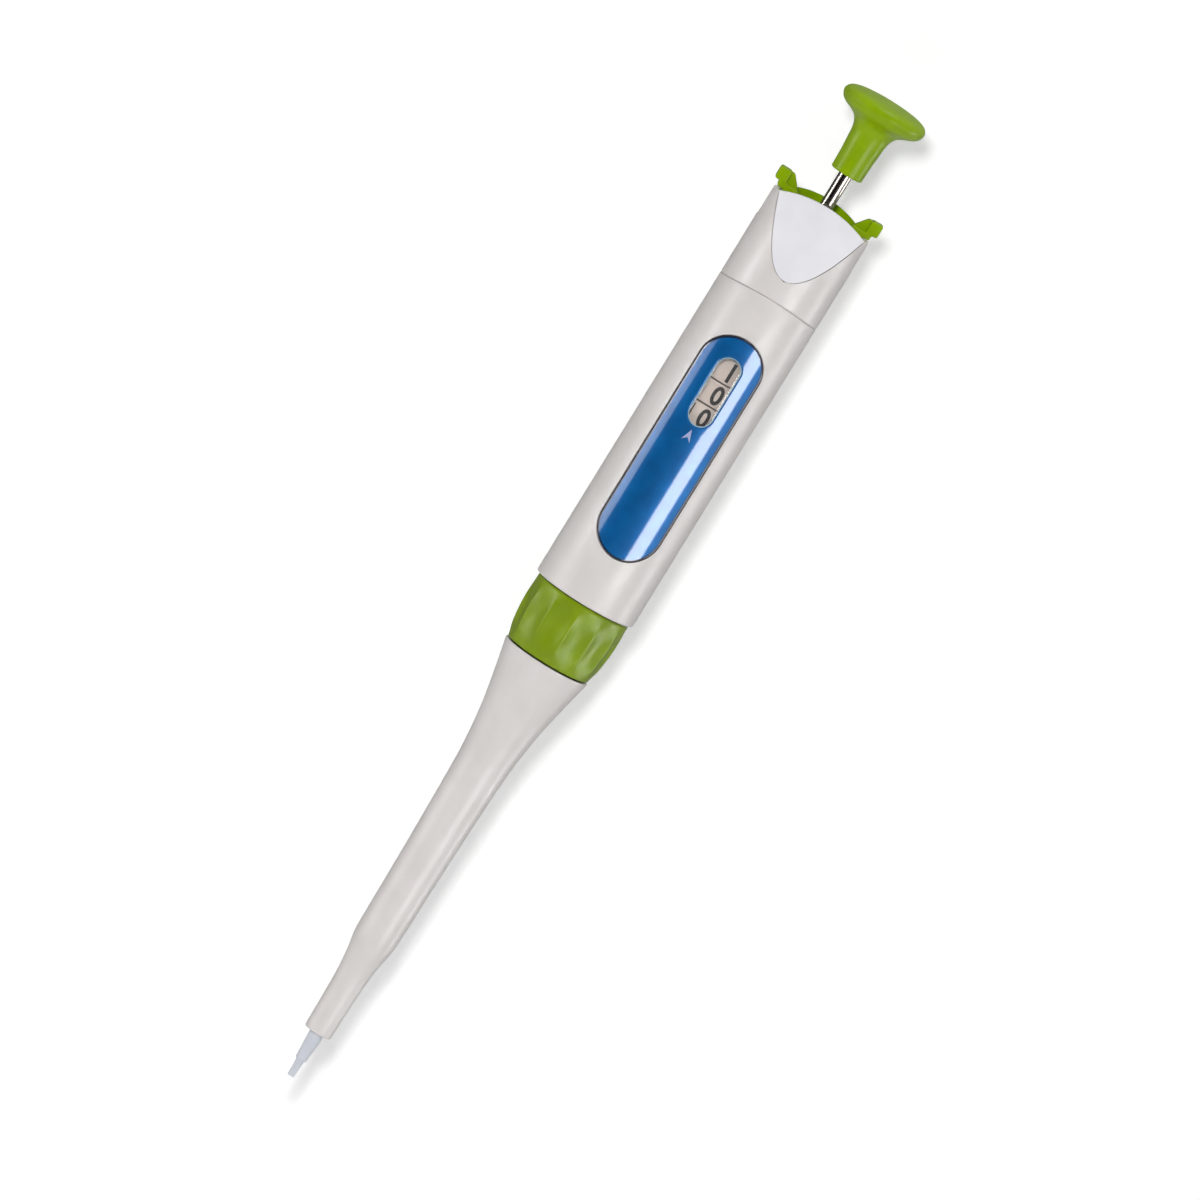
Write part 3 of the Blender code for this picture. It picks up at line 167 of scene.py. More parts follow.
# Light and camera, in metres and degrees
CAMERA_DISTANCE = 3.468
CAMERA_LENS = 500.0
CAMERA_AZIMUTH = -3.0
CAMERA_ELEVATION = 7.0
CAMERA_ROLL = 31.65
AIM_RISE = 119.4          # mm up the pipette, where the middle of the picture looks
AIM_SIDE = 2.9            # mm to the right of the axis
BACKDROP_BEHIND = 27.0    # mm behind the axis
FLOOR_BELOW = 60.0        # mm below the tip end


def linear(hex_colour):
    """Turn an sRGB hex colour into the linear values that Blender stores."""
    values = [int(hex_colour[i:i + 2], 16) / 255 for i in (1, 3, 5)]
    return [v / 12.92 if v <= 0.04045 else ((v + 0.055) / 1.055) ** 2.4 for v in values] + [1.0]


def given(made, **values):
    """Set properties on what was made, and hand it back."""
    for name, value in values.items():
        setattr(made, name, value)
    return made


def feed(tree, node, inputs):
    """Set a node's inputs, each to a plain value, to an output, or to the first output of a node."""
    for name, value in inputs.items():
        if isinstance(value, bpy.types.Node):
            value = value.outputs[0]
        if isinstance(value, bpy.types.NodeSocket):
            tree.links.new(value, node.inputs[name])
        else:
            node.inputs[name].default_value = value


def add_node(tree, kind, inputs=None, **settings):
    """Add a node with its inputs and settings."""
    made = given(tree.nodes.new(kind), **settings)
    feed(tree, made, inputs or {})
    return made


def new_material(name, **values):
    """A material, with the tree and the shader to build on. Values go to the shader's sockets."""
    made = bpy.data.materials.new(name)
    made.use_nodes = True
    shader = made.node_tree.nodes["Principled BSDF"]
    feed(made.node_tree, shader, {name.replace("_", " "): value for name, value in values.items()})
    return made, made.node_tree, shader


def worked_out(tree, operation, *values, clamp=False):
    """A math node on plain values or other nodes."""
    return add_node(tree, "ShaderNodeMath", dict(enumerate(values)), operation=operation, use_clamp=clamp)


def two_colours(tree, factor, dark, light):
    """A colour that runs between two hex colours by a factor."""
    colours = {0: factor, 6: linear(dark), 7: linear(light)}
    return add_node(tree, "ShaderNodeMix", colours, data_type="RGBA").outputs[2]


def noise_of(tree, grain_mm, detail):
    """A noise on the piece itself, whose grains measure grain_mm."""
    place = add_node(tree, "ShaderNodeTexCoord")
    return add_node(tree, "ShaderNodeTexNoise", {
        "Vector": place.outputs["Object"], "Scale": 1.0 / (grain_mm * MM), "Detail": detail})


def grain_height(tree, shader, grain_mm, strength, height_mm):
    """Give a shader a bump with grains of grain_mm."""
    noise = noise_of(tree, grain_mm, 2.0)
    bump = add_node(tree, "ShaderNodeBump", {
        "Height": noise, "Strength": strength, "Distance": height_mm * MM})
    feed(tree, shader, {"Normal": bump})


def patchy(tree, patch_mm, low, high):
    """Patches that measure patch_mm, mapped to run from low to high."""
    noise = noise_of(tree, patch_mm, 3.0)
    return add_node(tree, "ShaderNodeMapRange", {0: noise, 1: 0.35, 2: 0.65, 3: low, 4: high})


def seen_directly(tree):
    """1 for rays from the camera, also those that went through the clear window, and 0 for others."""
    path = add_node(tree, "ShaderNodeLightPath")
    return worked_out(tree, "MAXIMUM", path.outputs["Is Camera Ray"], path.outputs["Is Transmission Ray"])


def moulded_plastic(name, dark, light, roughness, ior=1.5, shine=0.5, grain_mm=0.25,
                    grain_height_mm=0.012, glow=0.0):
    """Injection-moulded plastic: an even colour with a faint cloudiness, and the mould's fine grain."""
    made, tree, shader = new_material(name, IOR=ior, Specular_IOR_Level=shine)
    if glow:
        feed(tree, shader, {"Subsurface Weight": glow, "Subsurface Scale": 0.8 * MM,
                            "Subsurface Radius": (1.0, 1.0, 1.0)})
    grain_height(tree, shader, grain_mm, 0.35, grain_height_mm)
    feed(tree, shader, {"Base Color": two_colours(tree, patchy(tree, 6.0, 0.0, 1.0), dark, light),
                        "Roughness": patchy(tree, 2.5, roughness - 0.03, roughness + 0.04)})
    return made


def panel_edge_line(tree, full_mm, end_mm):
    """1 within full_mm of the panel's outline, fading to 0 at end_mm inside it: the mask of the navy shade
    painted along the panel's edge.
    """
    place = add_node(tree, "ShaderNodeTexCoord")
    at = add_node(tree, "ShaderNodeSeparateXYZ", {0: place.outputs["Object"]})
    straight = 0.5 * (PANEL_LENGTH - PANEL_WIDTH) * MM
    up = worked_out(tree, "SUBTRACT", at.outputs["Z"], AXIS.z + PANEL_CENTRE * MM)
    past = worked_out(tree, "SUBTRACT", worked_out(tree, "ABSOLUTE", up), straight, clamp=True)
    across = worked_out(tree, "SUBTRACT", at.outputs["X"], AXIS.x)
    flat = add_node(tree, "ShaderNodeCombineXYZ", {"X": across, "Z": past})
    reach = add_node(tree, "ShaderNodeVectorMath", {0: flat}, operation="LENGTH")
    rim = 0.5 * PANEL_WIDTH * MM
    return add_node(tree, "ShaderNodeMapRange", {
        0: reach.outputs["Value"], 1: rim - end_mm * MM, 2: rim - full_mm * MM, 3: 0.0, 4: 1.0},
        interpolation_type="SMOOTHSTEP")


def make_finishes():
    """Every finish of the pipette, named for the real material and how its surface was made. The window
    rim's finish is a painted highlight.
    """
    done = {}
    # Pearl-grey ABS, moulded with a satin gloss: warm grey, soft wide highlights
    done["shell"] = moulded_plastic("pearl_grey_abs_moulded", "#DCD7D4", "#E1DCDA", 0.33, ior=1.6)
    # White polypropylene, moulded: a cooler white that keeps the scoop apart from the shells
    done["insert"] = moulded_plastic("white_polypropylene_moulded", "#E7E6EC", "#EDECF1", 0.4)
    # Yellow-green ABS, moulded with a satin gloss: a strong colour under soft, wide highlights
    done["green"] = moulded_plastic("yellow_green_abs_moulded", "#84A400", "#8EAE00", 0.31, shine=0.24)
    # Olive-green polypropylene, moulded with a fine spark grain: flatter and duller than the buttons
    done["nut"] = moulded_plastic("olive_green_polypropylene_grained", "#7C9500", "#86A000", 0.34,
                                  shine=0.45, grain_mm=0.35, grain_height_mm=0.03)
    # Dark grey acetal, machined matte: only the inner parts
    done["inner"] = moulded_plastic("dark_grey_acetal_moulded", "#36383C", "#3E4044", 0.5)
    # Number drums in light grey acetal: matte, so that the figures read
    done["drum"] = moulded_plastic("light_grey_acetal_moulded", "#D0C5BC", "#DAD0C7", 0.5)
    # Natural fluoroplastic, moulded: bluish white and faintly see-through at thin edges
    done["cone"] = moulded_plastic("natural_fluoroplastic_moulded", "#CDD1DA", "#D6D9E1", 0.36, glow=0.25)
    # Printed ink: matte black figures on the drums, and a pale mark on the panel
    done["black_ink"] = moulded_plastic("black_printed_ink", "#232021", "#2C2829", 0.6, grain_mm=0.1)
    done["pale_ink"] = moulded_plastic("pale_lilac_printed_ink", "#99A5CF", "#A5B0D7", 0.5, grain_mm=0.1)
    # Raised rim round the window: its bright pale colour is a painted highlight along the opening's edge
    done["window_rim_painted_highlight"] = moulded_plastic("pale_acrylic_rim_painted_highlight", "#9CC3D6", "#ABD0E0", 0.15)
    # Black rubber, moulded: dull and nearly black
    done["rubber"] = moulded_plastic("black_nitrile_rubber_moulded", "#1B1B1D", "#222225", 0.7)

    # Blue foil under thick clear lacquer: deep blue that lights up to one side, and a hard white gloss. A
    # navy line along the panel's edge is painted shade, where the lacquer's edge turns down to the shell
    made, tree, shader = new_material("blue_foil_lacquered", Metallic=0.55, Coat_Weight=1.0,
                                      Coat_Roughness=0.12, Coat_IOR=1.75)
    grain_height(tree, shader, 0.6, 0.12, 0.01)
    foil = two_colours(tree, patchy(tree, 5.0, 0.0, 1.0), "#006AB4", "#0076C4")
    # painted shade: the foil's colour goes navy along the panel's edge
    colours = {0: panel_edge_line(tree, *PANEL_EDGE_PAINTED_SHADE), 6: foil, 7: linear("#04183C")}
    edge_shaded = add_node(tree, "ShaderNodeMix", colours, data_type="RGBA")
    feed(tree, shader, {"Base Color": edge_shaded.outputs[2], "Roughness": patchy(tree, 1.2, 0.46, 0.54)})
    done["panel"] = made

    # Clear acrylic, polished: bends little and mirrors the softboxes. Light from lamps passes it.
    made, tree, shader = new_material("clear_acrylic_polished", Roughness=0.02, IOR=1.49)
    feed(tree, shader, {"Base Color": linear("#FDFBFA"), "Transmission Weight": 1.0})
    path = add_node(tree, "ShaderNodeLightPath")
    open_way = add_node(tree, "ShaderNodeBsdfTransparent", {"Color": linear("#FAF9F8")})
    both = add_node(tree, "ShaderNodeMixShader", {
        0: path.outputs["Is Shadow Ray"], 1: shader, 2: open_way})
    feed(tree, tree.nodes["Material Output"], {"Surface": both})
    done["lens"] = made

    # Stainless steel, ground and polished round: faint rings round the rod, mirror-like along it
    for key, name, dark, light, low, high in (
            ("rod", "stainless_steel_polished", "#A8A29B", "#B3ADA6", 0.18, 0.26),
            ("spring", "spring_steel_drawn", "#9C9DA0", "#A8A9AC", 0.26, 0.36),
            ("brass", "brass_turned", "#B4923C", "#BF9D45", 0.24, 0.34)):
        made, tree, shader = new_material(name, Metallic=1.0)
        place = add_node(tree, "ShaderNodeTexCoord")
        rings = add_node(tree, "ShaderNodeMapping", {0: place.outputs["Object"], 3: (1.0, 1.0, 12.0)})
        lines = add_node(tree, "ShaderNodeTexNoise", {
            "Vector": rings, "Scale": 1.0 / (1.5 * MM), "Detail": 2.0})
        rough = add_node(tree, "ShaderNodeMapRange", {0: lines, 3: low, 4: high})
        feed(tree, shader, {"Base Color": two_colours(tree, lines, dark, light), "Roughness": rough})
        done[key] = made
    return done


FINISHES = make_finishes()


def bare_object(name, data):
    made = bpy.data.objects.new(name, data)
    bpy.context.scene.collection.objects.link(made)
    return made


def written(work, mesh):
    """Put the worked shape into a mesh."""
    work.to_mesh(mesh)
    work.free()
    return mesh


def turned(name, outline, steps=SHELL_STEPS):
    """Turn an outline of (radius, height) points round the axis, down the outer side from the top."""
    mesh = bpy.data.meshes.new(name)
    edges = [(i, i + 1) for i in range(len(outline) - 1)]
    if outline[0][0] > 0:
        edges.append((len(outline) - 1, 0))
    mesh.from_pydata([(radius, 0, height) for radius, height in outline], edges, [])
    made = bare_object(name, mesh)
    given(made.modifiers.new("Turn", "SCREW"), axis="Z", steps=steps, render_steps=steps,
          use_merge_vertices=True, merge_threshold=WELD)
    return made


def corner_curve(first, corner, last, points):
    """Points on a curve from first to last, which the corner between them pulls out."""
    shares = [k / points for k in range(points + 1)]
    return [tuple(first * (1 - t) ** 2 + corner * (2 * t * (1 - t)) + last * t ** 2) for t in shares]


def rounded(outline, radius, points=4):
    """An outline with each corner that turns by more than 20 degrees rounded, inside its closed loop."""
    out = []
    count = len(outline)
    for i, corner in enumerate(Vector(p) for p in outline):
        before = Vector(outline[i - 1]) - corner
        after = Vector(outline[(i + 1) % count]) - corner
        tiny = min(corner.x, before.length, after.length) < 1e-6
        if tiny or before.angle(after) > math.radians(160):
            out.append(tuple(corner))
            continue
        reach = min(radius, 0.45 * before.length, 0.45 * after.length)
        out += corner_curve(corner + before.normalized() * reach, corner,
                            corner + after.normalized() * reach, points)
    return out


def smooth_line(keys, per_span):
    """Points on a smooth curve through the key points, with the ends kept."""
    path = [Vector(k) for k in keys]
    path = [2 * path[0] - path[1]] + path + [2 * path[-1] - path[-2]]
    points = []
    for a, b, c, d in zip(path, path[1:], path[2:], path[3:]):
        for step in range(per_span):
            t = step / per_span
            points.append(0.5 * (2 * b + (c - a) * t + (2 * a - 5 * b + 4 * c - d) * t ** 2
                                 + (3 * b - a - 3 * c + d) * t ** 3))
    points.append(path[-2])
    return [tuple(p) for p in points]


def plug(radius, bottom, top):
    """The outline of a round cutter on the axis."""
    return [(0, top), (radius, top), (radius, bottom), (0, bottom)]


def block(name, low, high):
    """A box between two corners."""
    work = bmesh.new()
    bmesh.ops.create_cube(work, size=1.0)
    bmesh.ops.scale(work, verts=work.verts, vec=[b - a for a, b in zip(low, high)])
    bmesh.ops.translate(work, verts=work.verts, vec=[0.5 * (a + b) for a, b in zip(low, high)])
    return bare_object(name, written(work, bpy.data.meshes.new(name)))


def cross_cylinder(name, radius, height):
    """A long cutter cylinder that lies along Y, with its centre line at the given height."""
    work = bmesh.new()
    place = Matrix.Translation((0, 0, height)) @ Matrix.Rotation(math.pi / 2, 4, "X")
    bmesh.ops.create_cone(work, cap_ends=True, segments=360, radius1=radius, radius2=radius,
                          depth=4 * HANDLE_RADIUS, matrix=place)
    return bare_object(name, written(work, bpy.data.meshes.new(name)))


def flat_shape(name, outlines, depth, facing="Y", edge_round=0.0, shift=0.0, round_steps=2):
    """Flat outlines given thickness, the first one filled and any others cut out of it.

    facing "Y" reads an outline as (x, z) seen from the front, and "X" reads it as (y, z) from the side.
    """
    curve = given(bpy.data.curves.new(name, "CURVE"), dimensions="2D", fill_mode="BOTH",
                  extrude=0.5 * depth - edge_round, bevel_depth=edge_round,
                  bevel_resolution=round_steps if edge_round else 0, offset=-edge_round)
    for outline in outlines:
        spline = curve.splines.new("POLY")
        spline.points.add(len(outline) - 1)
        for point, (across, height) in zip(spline.points, outline):
            point.co = (across, height, 0, 1)
        spline.use_cyclic_u = True
    upright = Matrix.Rotation(math.pi / 2, 4, "X")
    if facing == "X":
        place = Matrix.Translation((shift, 0, 0)) @ Matrix.Rotation(math.pi / 2, 4, "Z") @ upright
    else:
        place = Matrix.Translation((0, shift, 0)) @ upright
    return curve_as_mesh(name, curve, place)


def curve_as_mesh(name, curve, matrix):
    """Make a curve a closed mesh: its loose caps are welded to its sides."""
    drawn = bare_object(name + "_curve", curve)
    bpy.context.view_layer.update()
    mesh = bpy.data.meshes.new_from_object(drawn.evaluated_get(bpy.context.evaluated_depsgraph_get()))
    mesh.name = name
    mesh.materials.clear()
    work = bmesh.new()
    work.from_mesh(mesh)
    bmesh.ops.remove_doubles(work, verts=work.verts, dist=WELD)
    bmesh.ops.transform(work, matrix=matrix, verts=work.verts)
    bmesh.ops.recalc_face_normals(work, faces=work.faces)
    bpy.data.objects.remove(drawn)
    return bare_object(name, written(work, mesh))


def sliced(piece, step, low, high):
    """Cut a flat plate's mesh by upright planes, so that it can be bent smoothly."""
    work = bmesh.new()
    work.from_mesh(piece.data)
    count = int((high - low) / step) + 1
    for i in range(count + 1):
        bmesh.ops.bisect_plane(work, geom=work.verts[:] + work.edges[:] + work.faces[:], dist=0.00001,
                               plane_co=(low + i * step, 0, 0), plane_no=(1, 0, 0))
    written(work, piece.data)
    return piece


def laid_on_front(plate, radius):
    """Bend a plate onto the handle's front. Its own y is how deep it lies under that radius."""
    for v in sliced(plate, PLATE_SLICE, -0.5 * PANEL_WIDTH, 0.5 * PANEL_WIDTH).data.vertices:
        v.co.y = -math.sqrt(max((radius - v.co.y) ** 2 - v.co.x ** 2, 0.0))


def combine(target, operation, others):
    """Add exact Boolean modifiers, which settled() applies."""
    for other in others:
        given(target.modifiers.new(operation.title(), "BOOLEAN"), operation=operation, object=other,
              solver="EXACT")
        other.hide_render = True


def cut(target, *others):
    combine(target, "DIFFERENCE", others)


def joined(target, *others):
    combine(target, "UNION", others)


def kept_inside(target, *others):
    combine(target, "INTERSECT", others)


def settled(piece):
    """Apply a piece's modifiers, and remove the cutters that they used."""
    bpy.context.view_layer.update()
    mesh = bpy.data.meshes.new_from_object(piece.evaluated_get(bpy.context.evaluated_depsgraph_get()))
    used = [step.object for step in piece.modifiers if step.type == "BOOLEAN"]
    piece.modifiers.clear()
    piece.data = mesh
    for other in used:
        settled_away(other)
    return piece


def settled_away(other):
    """Remove a cutter with the cutters that shaped it."""
    for step in list(other.modifiers):
        if step.type == "BOOLEAN" and step.object:
            settled_away(step.object)
    bpy.data.objects.remove(other)


def finished(piece, body, finish, slot, *nodes, sharp=32):
    """Bring a piece into the row frame in metres, shade it, and hang it on the body it moves with."""
    settled(piece)
    piece.data.transform(ROW_FRAME)
    piece.data.materials.clear()
    piece.data.materials.append(FINISHES[finish])
    piece.data.shade_smooth()
    piece.data.set_sharp_from_angle(angle=math.radians(sharp))
    if nodes:
        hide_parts(*nodes)
    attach(piece, body)


def stadium(width, length, centre, points_per_end=32):
    """An upright outline with half-round ends, as (x, z)."""
    radius = 0.5 * width
    straight = 0.5 * length - radius
    outline = []
    for sign in (1, -1):
        for i in range(points_per_end + 1):
            angle = math.pi * i / points_per_end
            outline.append((sign * radius * math.cos(angle),
                            centre + sign * (straight + radius * math.sin(angle))))
    return outline


def window_outline(grow):
    """The outline of the panel's window, wider and longer by grow."""
    return stadium(WINDOW_WIDTH + grow, WINDOW_LENGTH + grow, WINDOW_CENTRE)


def front_prism(name, outline):
    """A cutter through the front wall of the handle."""
    depth = OUTSIDE - 0.5 * HANDLE_BORE
    return flat_shape(name, [outline], depth, shift=-(0.5 * HANDLE_BORE + 0.5 * depth))


def make_body_shell():
    """The long handle shell with its finger rest, and the pocket for the blue panel."""
    ledge_bore = HANDLE_BORE - LEDGE_DEPTH
    floor_top = SHELL_BOTTOM + SHELL_FLOOR
    ledge = SHELL_BOTTOM + LEDGE_HEIGHT
    outline = [
        (HANDLE_RADIUS, SHELL_TOP), (HANDLE_RADIUS, SHELL_BOTTOM), (SPIGOT_RADIUS, SHELL_BOTTOM),
        (SPIGOT_RADIUS, SPIGOT_BOTTOM), (SPIGOT_BORE, SPIGOT_BOTTOM), (SPIGOT_BORE, floor_top),
        (ledge_bore, floor_top), (ledge_bore, ledge), (HANDLE_BORE, ledge), (HANDLE_BORE, SHELL_TOP),
    ]
    shell = turned("body_shell_skin", rounded(outline, 0.35))
    half = ROD_HOLE + LUG_SIDE_WALL
    lug = block("lug", (-half, EJECTOR_ROD_REACH - ROD_HOLE - ROD_FRONT_WALL, LUG_BOTTOM),
                (half, HANDLE_BORE + 0.5 * HANDLE_WALL, LUG_TOP))
    joined(shell, finger_rest(), lug)
    floor_radius = PANEL_RADIUS - PANEL_THICKNESS - SEAT_GAP
    pocket = turned("pocket", [(OUTSIDE, SHELL_TOP), (OUTSIDE, SHELL_BOTTOM),
                               (floor_radius, SHELL_BOTTOM), (floor_radius, SHELL_TOP)])
    kept_inside(pocket, front_prism("pocket_edge", stadium(
        PANEL_WIDTH + 2 * RUN_GAP, PANEL_LENGTH + 2 * RUN_GAP, PANEL_CENTRE)))
    view = front_prism("counter_opening", window_outline(2 * SEAT_GAP))
    hole = turned("lug_hole", plug(ROD_HOLE, LUG_BOTTOM - OVER, LUG_TOP + OVER), HOLE_STEPS)
    hole.location.y = EJECTOR_ROD_REACH
    cut(shell, pocket, view, hole)
    finished(arched_seam(shell), "handle", "shell", "shell_plastic", "body_shell")


def arched_seam(piece):
    """Arch the seam between the body shell and the head up in front, and leave its sides and back."""
    for v in settled(piece).data.vertices:
        front = max(-v.co.y, 0.0) / max(math.hypot(v.co.x, v.co.y), 0.001)
        if abs(v.co.z - SHELL_TOP) < SEAM_REACH:
            v.co.z += SEAM_RISE * front ** 2
    return piece


def finger_rest():
    """The rest behind the handle: a flat underside for the stand, and a rounded lip."""
    inner = HANDLE_RADIUS - 0.5 * HANDLE_WALL
    low = REST_UNDERSIDE
    high = low + REST_THICKNESS
    reach = REST_END - HANDLE_RADIUS
    lip = 0.35 * REST_THICKNESS
    centre = (REST_END - lip, low + lip)
    # the web under it sweeps up from the shell to the flat underside
    outline = smooth_line([(inner, low - 6.0), (HANDLE_RADIUS + 0.5, low - 3.4),
                           (HANDLE_RADIUS + 1.2, low - 1.2), (HANDLE_RADIUS + 2.4, low)], 5)
    for i in range(21):
        angle = math.radians(-90 + 150 * i / 20)
        outline.append((centre[0] + lip * math.cos(angle), centre[1] + lip * math.sin(angle)))
    outline += smooth_line([outline[-1], (HANDLE_RADIUS + 0.55 * reach, high - 0.25 * REST_THICKNESS),
                            (HANDLE_RADIUS + 0.25 * reach, high + 0.05 * REST_THICKNESS),
                            (inner, high + 0.3 * REST_THICKNESS)], 6)[1:]
    return flat_shape("rest_form", [outline], REST_WIDTH, "X", edge_round=0.8, round_steps=5)


def make_panel():
    """The blue panel, the rim round its window coloured pale as a painted highlight, the clear window and
    the small pointer.
    """
    outer = stadium(PANEL_WIDTH, PANEL_LENGTH, PANEL_CENTRE, 48)
    panel = flat_shape("panel_skin", [outer, window_outline(0)[::-1]], PANEL_THICKNESS, edge_round=0.3,
                       shift=0.5 * PANEL_THICKNESS, round_steps=6)
    laid_on_front(panel, PANEL_RADIUS - PRINT_THICKNESS)
    finished(panel, "handle", "panel", "panel_film", "label_panel")

    # the rim is a real raised edge; its pale colour is a painted highlight round the window
    rim = flat_shape("window_rim_painted_highlight", [window_outline(-0.04), window_outline(-2 * RIM_WIDTH)[::-1]], 0.5,
                     edge_round=0.1, shift=0.27, round_steps=3)
    laid_on_front(rim, PANEL_RADIUS)
    finished(rim, "handle", "window_rim_painted_highlight", "lens_plastic")

    lens = flat_shape("window_pane", [window_outline(-2 * RIM_WIDTH - 0.06)], LENS_THICKNESS,
                      shift=0.5 * LENS_THICKNESS + 0.1)
    laid_on_front(lens, PANEL_RADIUS)
    finished(lens, "handle", "lens", "lens_plastic", "window_lens")

    tip = WINDOW_CENTRE - 0.5 * WINDOW_LENGTH - 0.95
    arrow = [(0.0, tip), (-1.0, tip - 2.7), (0.0, tip - 1.8), (1.0, tip - 2.7)]
    mark = flat_shape("pointer_mark", [arrow], 2 * PRINT_THICKNESS, shift=PRINT_THICKNESS)
    laid_on_front(mark, PANEL_RADIUS)
    finished(mark, "handle", "pale_ink", "panel_film")


def figures_on_drum(name, body, node, first, ticks=False):
    """One number drum, with the ten figures printed round it."""
    low, high = heights(node)
    middle = 0.5 * (low + high)
    wall = DRUM_RADIUS - 1.0
    hub, bore, half_disc = 4.1, 3.1, 0.5
    drum = turned(f"{node}_body", rounded([
        (DRUM_RADIUS, high), (DRUM_RADIUS, low), (wall, low), (wall, middle - half_disc),
        (hub, middle - half_disc), (hub, low), (bore, low), (bore, high), (hub, high),
        (hub, middle + half_disc), (wall, middle + half_disc), (wall, high)], 0.12, 3), 120)
    finished(drum, body, "drum", "drum_plastic", node)

    work = bmesh.new()
    ink = 0.04
    for digit in range(10):
        text = given(bpy.data.curves.new(f"{name}_{digit}", "FONT"), body=str(digit), align_x="CENTER",
                     align_y="CENTER", size=6.0, offset=0.16, resolution_u=6, extrude=ink)
        shape = curve_as_mesh(f"{name}_{digit}", text, Matrix.Rotation(math.pi / 2, 4, "X"))
        up = [v.co.z for v in shape.data.vertices]
        across = [v.co.x for v in shape.data.vertices]
        grow = Matrix.Diagonal((FIGURE_SQUEEZE, 1, FIGURE_HEIGHT / (max(up) - min(up)), 1))
        centre = Matrix.Translation((-0.5 * (max(across) + min(across)), 0, -0.5 * (max(up) + min(up))))
        shape.data.transform(grow @ centre)
        sliced(shape, 0.25, -2.0, 2.0)
        place_on_drum(work, shape, (first - digit) * DIGIT_STEP + FIGURE_TURN, middle)
    if ticks:
        for digit in range(10):
            shape = flat_shape(f"{name}_tick", [[(-0.13, -1.7), (0.13, -1.7), (0.13, 1.7), (-0.13, 1.7)]],
                               2 * ink)
            place_on_drum(work, shape, digit * DIGIT_STEP + TICK_TURN, middle + 0.3)
    figures = bare_object(name, written(work, bpy.data.meshes.new(name)))
    finished(figures, body, "black_ink", "drum_plastic")


def place_on_drum(work, shape, turn, middle):
    """Wrap a flat figure round the drum at an angle counted from the window, and add it to the work."""
    for v in shape.data.vertices:
        angle = v.co.x / DRUM_RADIUS + turn
        radius = DRUM_RADIUS - v.co.y
        v.co = Vector((radius * math.sin(angle), -radius * math.cos(angle), v.co.z + middle))
    work.from_mesh(shape.data)
    bpy.data.objects.remove(shape)


def scoop_depth(rise):
    """How deep the scoop lies behind the front of the head, at one height above its bottom."""
    half_width_squared = SCOOP_HALF_WIDTH ** 2 * min(max(rise / SCOOP_RISE, 0.0), 1.0)
    return HANDLE_RADIUS - math.sqrt(HANDLE_RADIUS ** 2 - half_width_squared)


def scoop_front_outline(grow):
    """The scoop seen from the front, as (x, z): a parabola that runs out at the head's rim."""
    steps = 40
    right = []
    for i in range(steps + 1):
        share = i / steps
        right.append((SCOOP_HALF_WIDTH * share + grow,
                      SCOOP_BOTTOM + SCOOP_RISE * share ** 2 - (grow if i == 0 else 0)))
    right.append((right[-1][0], SCOOP_TOP + OVER))
    left = [(-x, z) for x, z in reversed(right)]
    return right + left if grow else right[1:] + left[:-1] + [(0, SCOOP_BOTTOM)]


def scoop_side_line(back):
    """The scoop seen from the side, as (y, z), from its bottom to above its top edge."""
    steps = 60
    blend = 2.0
    line = [(-HANDLE_RADIUS + back, SCOOP_BOTTOM - OVER)]
    for i in range(steps + 1):
        rise = (SCOOP_RISE - blend) * i / steps
        line.append((-HANDLE_RADIUS + scoop_depth(rise) + back, SCOOP_BOTTOM + rise))
    # above, the scoop bends smoothly into its upright top
    first, knee = Vector(line[-1]), Vector((-HANDLE_RADIUS + scoop_depth(SCOOP_RISE) + back, 0.0))
    slope = Vector(line[-1]) - Vector(line[-2])
    knee.y = first.y + slope.y / slope.x * (knee.x - first.x)
    last = Vector((knee.x, knee.y + (knee - first).length))
    line += corner_curve(first, knee, last, 12)[1:]
    line.append((line[-1][0], SCOOP_TOP + OVER))
    return line


